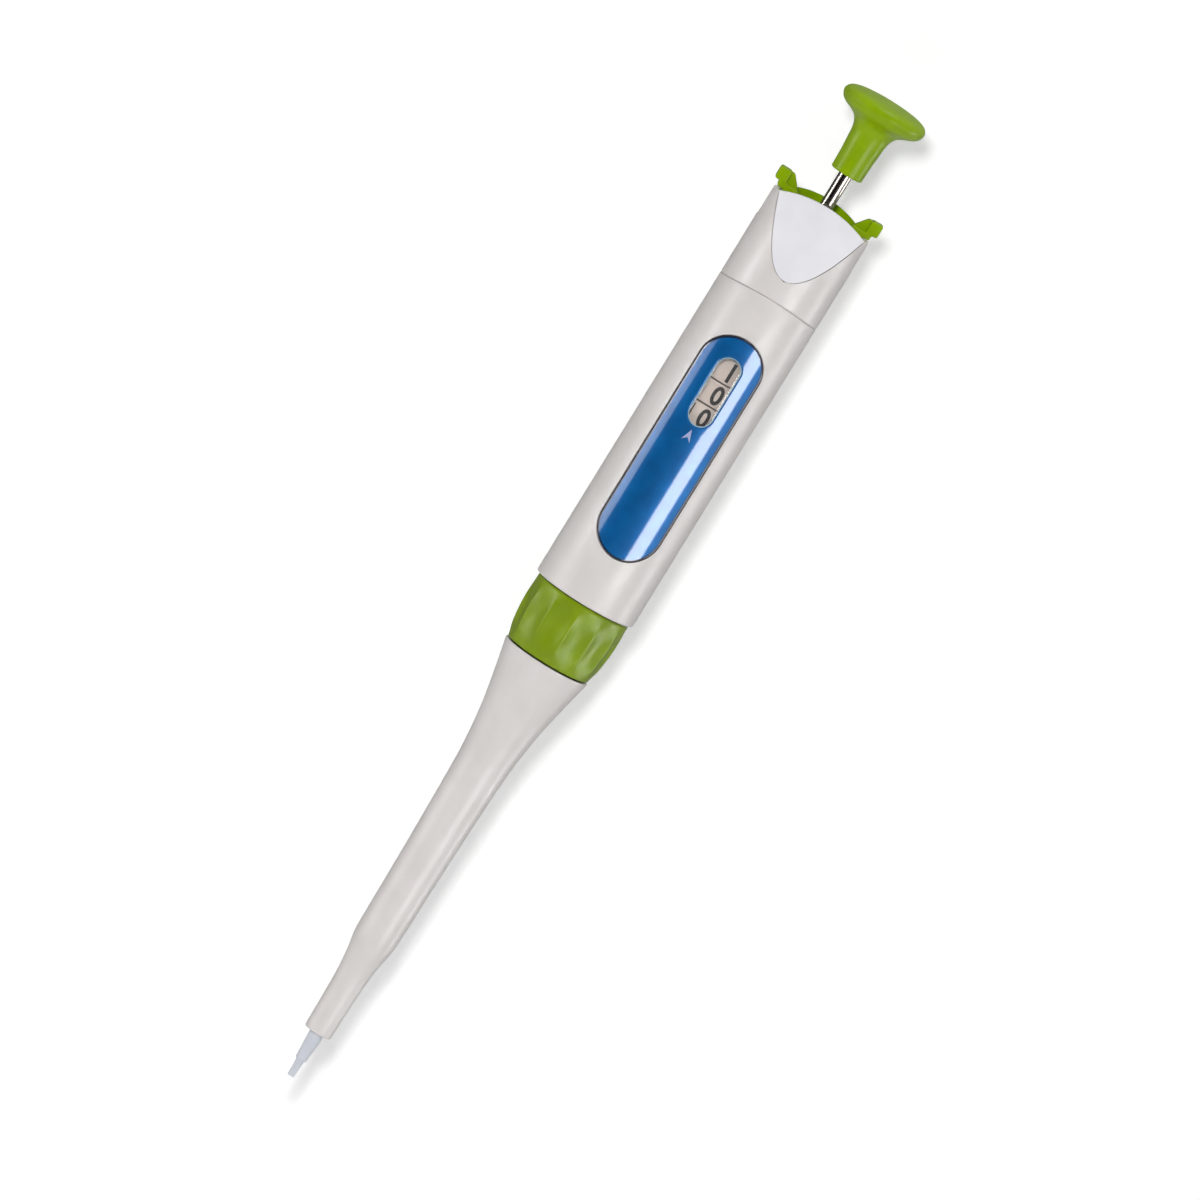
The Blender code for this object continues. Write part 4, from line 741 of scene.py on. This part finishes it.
def make_head():
    """The head shell with its side slots and scooped front, and the white insert in the scoop."""
    bulkhead_bottom = HEAD_BOTTOM + 0.3
    bulkhead_top = bulkhead_bottom + BULKHEAD_THICKNESS
    outline = rounded([
        (HANDLE_BORE, HEAD_TOP), (HANDLE_RADIUS, HEAD_TOP), (HANDLE_RADIUS, SHELL_TOP + SEAM_GAP),
        (FITTED_RADIUS, SHELL_TOP + SEAM_GAP), (FITTED_RADIUS, HEAD_SPIGOT_END),
        (FITTED_RADIUS - 1.0, HEAD_SPIGOT_END), (FITTED_RADIUS - 1.0, bulkhead_bottom),
        (BULKHEAD_HOLE, bulkhead_bottom), (BULKHEAD_HOLE, bulkhead_top),
        (HANDLE_BORE, bulkhead_top)], 0.35, 6)
    shell = turned("head_shell_skin", outline)
    opening = flat_shape("scoop_opening", [scoop_front_outline(RUN_GAP)], 2 * HANDLE_RADIUS,
                         shift=-HANDLE_RADIUS)
    in_front = scoop_side_line(SCOOP_WALL + SEAT_GAP)
    in_front += [(-OUTSIDE, in_front[-1][1]), (-OUTSIDE, in_front[0][1])]
    kept_inside(opening, flat_shape("scoop_opening_depth", [in_front], 2 * HANDLE_RADIUS + OVER, "X"))
    slot_half = 0.5 * EAR_DEPTH + SEAT_GAP
    slot = block("ear_slot", (-OUTSIDE, -slot_half, EAR_BOTTOM - EJECT_STROKE - SEAT_GAP),
                 (OUTSIDE, slot_half, HEAD_TOP + OVER))
    notch = block("rod_notch", (-ROD_HOLE, EJECTOR_ROD_REACH - ROD_HOLE, HEAD_SPIGOT_END - OVER),
                  (ROD_HOLE, HANDLE_BORE - 0.1, bulkhead_top + OVER))
    cut(shell, opening, slot, notch)
    finished(arched_seam(shell), "handle", "shell", "shell_plastic", "head_shell")

    insert = flat_shape("scoop_insert", [scoop_front_outline(0)], 2 * HANDLE_RADIUS,
                        shift=-HANDLE_RADIUS)
    front = scoop_side_line(0)[1:]
    back = scoop_side_line(SCOOP_WALL)[1:]
    kept_inside(insert, flat_shape("scoop_plate", [front + back[::-1]], 2 * HANDLE_RADIUS + OVER, "X"),
                cross_cylinder("scoop_arch", SCOOP_ARCH_RADIUS, SCOOP_TOP - SCOOP_ARCH_RADIUS))
    finished(insert, "handle", "insert", "insert_plastic", "head_insert")


def ear_web_outline(side):
    """The sloping web of one ear, as (x, z) seen from the front. No face lies in one of the block's."""
    start, end = EAR_SLOPE_START - 0.1, EAR_ROOT_REACH - EAR_INSET
    low, high = EAR_BOTTOM + EAR_INSET, EAR_TOP - EAR_INSET
    outline = rounded([(start, low), (end, low), (end, high), (EAR_FLAT_START, high),
                       (start, EAR_UNDERSIDE + 0.1)], 0.5, 6)
    return [(side * x, z) for x, z in outline][::side]


def ear_block_outline(side):
    """The thick outer block of one ear with its root, as (x, z) seen from the front."""
    start, inner = EAR_SLOPE_START - 0.4, EAR_REACH - 2.7
    outline = rounded([
        (start, EAR_BOTTOM), (EAR_ROOT_REACH, EAR_BOTTOM), (EAR_ROOT_REACH, EAR_UNDERSIDE),
        (EAR_REACH, EAR_UNDERSIDE), (EAR_REACH, EAR_TOP), (inner, EAR_TOP), (inner, EAR_UNDERSIDE),
        (start, EAR_UNDERSIDE)], 0.6, 6)
    return [(side * x, z) for x, z in outline][::side]


def make_ejector_button():
    """The green saddle: an arched, dished C-shaped plate with a skirt behind, and an ear on each side."""
    plate_bottom = SADDLE_TOP - SADDLE_PLATE
    saddle = turned("ejector_saddle", rounded([
        (SADDLE_RADIUS, SADDLE_TOP), (SADDLE_RADIUS, SKIRT_BOTTOM), (SADDLE_BORE, SKIRT_BOTTOM),
        (SADDLE_BORE, plate_bottom), (SADDLE_HOLE, plate_bottom), (SADDLE_HOLE, SADDLE_TOP)], 0.25, 3))
    kept_inside(saddle, cross_cylinder("saddle_arch", SADDLE_ARCH_RADIUS, SADDLE_TOP - SADDLE_ARCH_RADIUS))
    front = block("saddle_front", (-EAR_REACH - OVER, -EAR_REACH - OVER, SKIRT_BOTTOM - OVER),
                  (EAR_REACH + OVER, -0.5 * EAR_DEPTH, SADDLE_TOP + OVER))
    web = EAR_DEPTH - 1.4
    ears = []
    for word, side in (("left", -1), ("right", 1)):
        ears.append(flat_shape(f"ear_{word}", [ear_block_outline(side)], EAR_DEPTH, edge_round=0.3,
                               round_steps=4))
        ears.append(flat_shape(f"ear_web_{word}", [ear_web_outline(side)], web, edge_round=0.25,
                               shift=0.5 * (EAR_DEPTH - web) - EAR_INSET, round_steps=4))
    dish_depth, rim = 1.85, 1.0
    dish = turned("saddle_dish", plug(SADDLE_RADIUS - rim, SADDLE_TOP - dish_depth, SADDLE_TOP + OVER))
    socket_half = ROD_HOLE + 0.9
    socket = block("rod_socket",
                   (-socket_half, EJECTOR_ROD_REACH - ROD_HOLE - ROD_FRONT_WALL, SKIRT_BOTTOM + 0.3),
                   (socket_half, SADDLE_BORE + 0.75, plate_bottom + 0.3))
    cut(saddle, dish, front)
    joined(saddle, *ears, socket)
    bore = turned("socket_bore", plug(ROD_HOLE, SKIRT_BOTTOM - OVER, HEAD_TOP - 1.5), HOLE_STEPS)
    bore.location.y = EJECTOR_ROD_REACH
    cut(saddle, bore)
    finished(saddle, "ejector", "green", "green_plastic", "ejector_button")


def make_sleeve():
    """The long tapered ejector sleeve, from shares of its length and the outer radius there."""
    shares = [(0.0, 3.07), (0.10, 3.24), (0.155, 3.45), (0.20, 3.9), (0.247, 4.6), (0.30, 4.76),
              (0.475, 5.0), (0.68, 5.5), (0.762, 6.0), (0.842, 6.9), (0.923, 8.35), (1.0, 9.9)]
    length = SLEEVE_TOP - SLEEVE_BOTTOM
    outer = smooth_line([(radius, SLEEVE_BOTTOM + share * length) for share, radius in reversed(shares)], 8)
    inner = [(radius - SLEEVE_WALL, height) for radius, height in reversed(outer)]
    sleeve = turned("sleeve_skin", rounded(outer + inner, 0.3, 4), SLEEVE_STEPS)
    finished(sleeve, "ejector", "shell", "shell_plastic", "ejector_sleeve")


def make_nut():
    """The grip nut: a turned barrel whose wall is pressed in by twelve long flutes."""
    top, belly, bottom = HANDLE_RADIUS - 0.8, HANDLE_RADIUS - 0.65, HANDLE_RADIUS - 1.9
    length = NUT_TOP - NUT_BOTTOM
    bore = SPIGOT_RADIUS + 0.3
    keys = [(top, NUT_TOP - 0.5), (belly, NUT_BOTTOM + 0.6 * length),
            (0.5 * (belly + bottom) + 0.15, NUT_BOTTOM + 0.25 * length), (bottom, NUT_BOTTOM + 0.5)]
    soft_edge = [(0.5, 0.0), (0.2, 0.06), (0.05, 0.22)]
    rim = [(top - x, NUT_TOP - z) for x, z in soft_edge]
    foot = [(bottom - x, NUT_BOTTOM + z) for x, z in reversed(soft_edge)]
    inner = [(bore - 1.1, NUT_BOTTOM), (bore - 1.1, NUT_BOTTOM + 1.0), (bore, NUT_BOTTOM + 1.0),
             (bore, NUT_TOP)]
    flutes, flute_depth = 12, 0.85
    nut = settled(turned("nut_skin", rim + smooth_line(keys, 14) + foot + inner, flutes * 30))
    middle = NUT_BOTTOM + 0.49 * length
    for v in nut.data.vertices:
        radius = math.hypot(v.co.x, v.co.y)
        # only the outer wall is pressed in
        if radius > bore + WELD:
            across = math.atan2(v.co.y, v.co.x) % (2 * math.pi / flutes) / (math.pi / flutes) - 1
            along = (v.co.z - middle) / (0.46 * length)
            left = 1 - flute_depth * hollow(across / 0.94, 1.0) * hollow(along, 1.6) / radius
            v.co.x *= left
            v.co.y *= left
    finished(nut, "lock_nut", "nut", "nut_plastic", "grip_nut", sharp=40)


def hollow(share, softness):
    """A dip that is 1 in the middle and 0 from a share of 1 on either side. Softness softens its edges."""
    return (1 - share ** 2) ** softness if abs(share) < 1 else 0.0


def make_push_button():
    """The mushroom-shaped push button and its polished rod."""
    # outer radius, and share of the button's height
    outline = [(3.6, 0.0), (3.7, 0.21), (3.9, 0.367), (4.12, 0.517), (4.55, 0.594), (5.3, 0.653),
               (6.7, 0.70), (8.2, 0.736), (9.2, 0.783), (9.69, 0.856), (9.15, 0.92), (8.0, 0.955),
               (6.2, 0.977), (3.2, 0.994)]
    height = BUTTON_TOP - BUTTON_BOTTOM
    outer = smooth_line([(radius, BUTTON_BOTTOM + share * height)
                         for radius, share in reversed(outline)], 10)
    foot, bevel, bore, bore_depth = outline[0][0], 0.2, 1.7, 10.0
    loop = [(0, BUTTON_TOP)] + outer[:-1] + [
        (foot, BUTTON_BOTTOM + bevel), (foot - bevel, BUTTON_BOTTOM), (bore, BUTTON_BOTTOM),
        (bore, BUTTON_BOTTOM + bore_depth), (0, BUTTON_BOTTOM + bore_depth)]
    button = turned("button_skin", [(r, min(z, BUTTON_TOP)) for r, z in loop], 128)
    finished(button, "plunger", "green", "green_plastic", "push_button")
    radius = 1.5
    rod = turned("rod_skin", [
        (0, ROD_TOP), (radius - bevel, ROD_TOP), (radius, ROD_TOP - bevel), (radius, ROD_BOTTOM + bevel),
        (radius - bevel, ROD_BOTTOM), (0, ROD_BOTTOM)], 64)
    finished(rod, "plunger", "rod", "rod_steel", "push_rod")


def make_spring(node, body, radius, wire, turns, centre_y=0.0):
    """A compression spring with closed end turns."""
    bottom, top = heights(node)
    pitch = 2.2 * wire        # of a closed end turn
    low, high = bottom + wire, top - wire
    open_pitch = (high - low - 2 * pitch) / (turns - 2)
    per_turn = 24
    curve = given(bpy.data.curves.new(f"{node}_coil", "CURVE"), dimensions="3D", bevel_depth=wire,
                  bevel_resolution=2, use_fill_caps=True)
    spline = curve.splines.new("POLY")
    count = int(turns * per_turn)
    spline.points.add(count)
    for i, point in enumerate(spline.points):
        turn = i / per_turn
        closed = min(turn, 1.0) + max(turn - (turns - 1.0), 0.0)
        angle = 2 * math.pi * turn
        point.co = (radius * math.cos(angle), centre_y + radius * math.sin(angle),
                    low + pitch * closed + open_pitch * (turn - closed), 1)
    spring = curve_as_mesh(f"{node}_coil", curve, Matrix.Identity(4))
    finished(spring, body, "spring", "spring_steel", node)
    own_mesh(spring)


def smoothing_group():
    """A geometry group that welds a faceted CAD mesh and shades its round stretches smooth."""
    group = bpy.data.node_groups.new("smooth_round_stretches", "GeometryNodeTree")
    group.interface.new_socket("Geometry", in_out="INPUT", socket_type="NodeSocketGeometry")
    group.interface.new_socket("Geometry", in_out="OUTPUT", socket_type="NodeSocketGeometry")
    come = add_node(group, "NodeGroupInput")
    weld = add_node(group, "GeometryNodeMergeByDistance", {"Geometry": come, "Distance": 0.000002})
    bend = add_node(group, "GeometryNodeInputMeshEdgeAngle")
    gentle = add_node(group, "FunctionNodeCompare", {0: bend, 1: math.radians(32)}, data_type="FLOAT",
                      operation="LESS_THAN")
    shaded = weld
    for domain, smooth in (("FACE", True), ("EDGE", gentle)):
        shaded = add_node(group, "GeometryNodeSetShadeSmooth", {"Geometry": shaded, "Shade Smooth": smooth},
                          domain=domain)
    add_node(group, "NodeGroupOutput", {0: shaded})
    return group


def finish_inner_nodes():
    """The CAD nodes that stay as they are: each gets its real finish and smooth round stretches."""
    group = smoothing_group()
    wanted = {
        "cone": ["tip_cone", "piston_seal", "rod_bush"],
        "inner": ["counter_frame", "spring_seat", "piston_holder", "ejector_collar"],
        "rubber": ["seal_o_ring", "friction_ring"],
        "rod": ["seal_retainer", "volume_spindle", "stop_collar", "piston", "stop_plate", "ejector_rod"],
        "spring": ["ejector_clip"],
        "brass": ["volume_nut", "drive_sleeve"],
    }
    for key, nodes in wanted.items():
        for name in nodes:
            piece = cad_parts[name]
            piece.data.materials.clear()
            piece.data.materials.append(FINISHES[key])
            piece.modifiers.new("Smooth", "NODES").node_group = group


def make_stage():
    """A pale floor under the tip and a white backdrop close behind, which takes the soft shadow."""
    back = AXIS.y + BACKDROP_BEHIND * MM
    floor_height = AXIS.z - FLOOR_BELOW * MM
    white, tree, shader = new_material("white_card_matt", Roughness=0.9, IOR=1.3)
    feed(tree, shader, {"Base Color": linear("#F4F4F4")})
    # a little glow that only the camera sees brings the card to white and keeps its shadow
    glow = add_node(tree, "ShaderNodeEmission", {"Color": (1, 1, 1, 1), "Strength": 0.23})
    lit = add_node(tree, "ShaderNodeAddShader", {0: shader, 1: glow})
    shown = add_node(tree, "ShaderNodeMixShader", {0: seen_directly(tree), 1: shader, 2: lit})
    # the card is see-through from behind, so that the pipette's back can be looked at
    side = add_node(tree, "ShaderNodeNewGeometry")
    clear = add_node(tree, "ShaderNodeBsdfTransparent")
    one_sided = add_node(tree, "ShaderNodeMixShader", {
        0: side.outputs["Backfacing"], 1: shown, 2: clear})
    feed(tree, tree.nodes["Material Output"], {"Surface": one_sided})
    mesh = bpy.data.meshes.new("backdrop_and_floor")
    wide, tall, near, bend = 1.2, 1.0, 0.9, 0.012      # metres: half width, height, depth, bend radius
    outline = [(back, floor_height + tall), (back, floor_height + bend)]
    for i in range(1, 13):
        angle = math.pi / 2 * i / 12
        outline.append((back - bend + bend * math.cos(angle), floor_height + bend - bend * math.sin(angle)))
    outline.append((back - near, floor_height))
    verts = [(side_x, y, z) for y, z in outline for side_x in (-wide, wide)]
    faces = [(2 * i, 2 * i + 2, 2 * i + 3, 2 * i + 1) for i in range(len(outline) - 1)]
    mesh.from_pydata(verts, [], faces)
    mesh.materials.append(white)
    mesh.shade_smooth()
    stage = bare_object("backdrop_and_floor", mesh)
    stage.visible_glossy = False     # so that the pipette's edges don't mirror the card and go white


def direction(azimuth, elevation):
    """The way from the pipette to a viewer at an azimuth and an elevation in degrees."""
    turn, rise = math.radians(azimuth), math.radians(elevation)
    return Vector((math.sin(turn) * math.cos(rise), -math.cos(turn) * math.cos(rise), math.sin(rise)))


def lamp_round_the_pipette(name, shape, size, power, azimuth, elevation, distance, drop=0.0):
    """A flat lamp aimed at the axis, drop millimetres below the height that the camera aims at."""
    lamp = given(bpy.data.lights.new(name, "AREA"), shape=shape, size=size[0], size_y=size[1], energy=power)
    middle = Vector((AXIS.x, AXIS.y, AXIS.z + (AIM_RISE - drop) * MM))
    place = middle + distance * direction(azimuth, elevation)
    return given(bare_object(name, lamp), location=place, rotation_mode="QUATERNION",
                 rotation_quaternion=(middle - place).to_track_quat("-Z", "Y"))


def make_light():
    """Soft studio light: a white room that is dim in front, a key, a low fill, a top light and strips."""
    world = given(bpy.data.worlds.new("studio_room"), use_nodes=True)
    bpy.context.scene.world = world
    tree = world.node_tree
    place = add_node(tree, "ShaderNodeTexCoord")
    parts = add_node(tree, "ShaderNodeSeparateXYZ", {0: place.outputs["Generated"]})
    # the room's level by direction: dim in front and behind, more at the sides, most above and below
    level = worked_out(tree, "MULTIPLY", parts.outputs["X"], 0.14)
    for axis, start, end, gain in (("Y", -1.0, 0.0, 0.26), ("Y", 0.15, 0.7, -0.12),
                                   ("Z", 0.1, 0.9, 0.32), ("Z", -0.1, -0.9, 0.3)):
        share = add_node(tree, "ShaderNodeMapRange", {
            0: parts.outputs[axis], 1: start, 2: end, 3: 0.0, 4: gain}, interpolation_type="SMOOTHSTEP")
        level = worked_out(tree, "ADD", level, share)
    shown = add_node(tree, "ShaderNodeMix", {
        0: seen_directly(tree), 2: worked_out(tree, "ADD", level, 0.04), 3: 1.0}, data_type="FLOAT")
    feed(tree, tree.nodes["Background"], {"Color": (1, 1, 1, 1), "Strength": shown})

    # The strips only show as reflections, so the backdrop keeps the one soft shadow of the key.
    # Sides are in metres, power is in watts.
    for name, size, power, azimuth, drop in (("strip_rod", (0.2, 0.08), 0.9, -72.0, 18.0),
                                             ("strip_right", (0.5, 0.5), 6.4, 40.0, 225.0),
                                             ("strip_edge", (0.35, 0.5), 2.8, 98.0, 120.0),
                                             ("strip_left", (0.8, 0.2), 1.3, -72.0, 145.0)):
        strip = lamp_round_the_pipette(name, "RECTANGLE", size, power, azimuth, 0.0, 1.0, drop)
        strip.visible_diffuse = False
    key = lamp_round_the_pipette("key", "DISK", (0.2, 0.2), 10.2, CAMERA_AZIMUTH - 5.8,
                                 CAMERA_ELEVATION + 7.0, 1.5)
    fill = lamp_round_the_pipette("low_fill", "DISK", (0.3, 0.3), 0.42, CAMERA_AZIMUTH, -25.0, 0.42, 65.0)
    lamp_round_the_pipette("top_light", "DISK", (0.2, 0.2), 0.35, 20.0, 74.0, 0.4, -115.0)
    for soft in (key, fill):
        soft.visible_glossy = False
        soft.visible_transmission = False


def make_camera():
    """A long lens in front of the pipette, a little above it, rolled so that the pipette leans right."""
    lens = given(bpy.data.cameras.new("camera"), lens=CAMERA_LENS, sensor_width=36.0, clip_start=0.1,
                 clip_end=50.0)
    away = direction(CAMERA_AZIMUTH, CAMERA_ELEVATION)
    azimuth = math.radians(CAMERA_AZIMUTH)
    right = Vector((math.cos(azimuth), math.sin(azimuth), 0))
    aim = AXIS + Vector((0, 0, AIM_RISE * MM)) + right * (AIM_SIDE * MM)
    turn = (-away).to_track_quat("-Z", "Y").to_matrix().to_4x4()
    turn @= Matrix.Rotation(math.radians(CAMERA_ROLL), 4, "Z")
    bpy.context.scene.camera = given(
        bare_object("camera", lens), location=aim + away * CAMERA_DISTANCE,
        rotation_mode="QUATERNION", rotation_quaternion=turn.to_quaternion())


make_body_shell()
make_panel()
figures_on_drum("figures_units", "volume_drive", "drum_units", 0, ticks=True)
figures_on_drum("figures_tens", "tens_drum", "drum_tens", 0)
figures_on_drum("figures_hundreds", "hundreds_drum", "drum_hundreds", 1)
make_head()
make_ejector_button()
make_sleeve()
make_nut()
make_push_button()
# after its stroke, each spring has the radius of its coil and of its wire, and its number of turns
make_spring("piston_spring", "plunger", 2.9, 0.28, 10)
make_spring("blowout_spring", "blowout_stop", 5.0, 0.45, 4.5)
make_spring("ejector_spring", "ejector", 1.2, 0.17, 7, EJECTOR_ROD_REACH)
finish_inner_nodes()
make_stage()
make_light()
make_camera()
bpy.context.scene.view_settings.view_transform = "Standard"
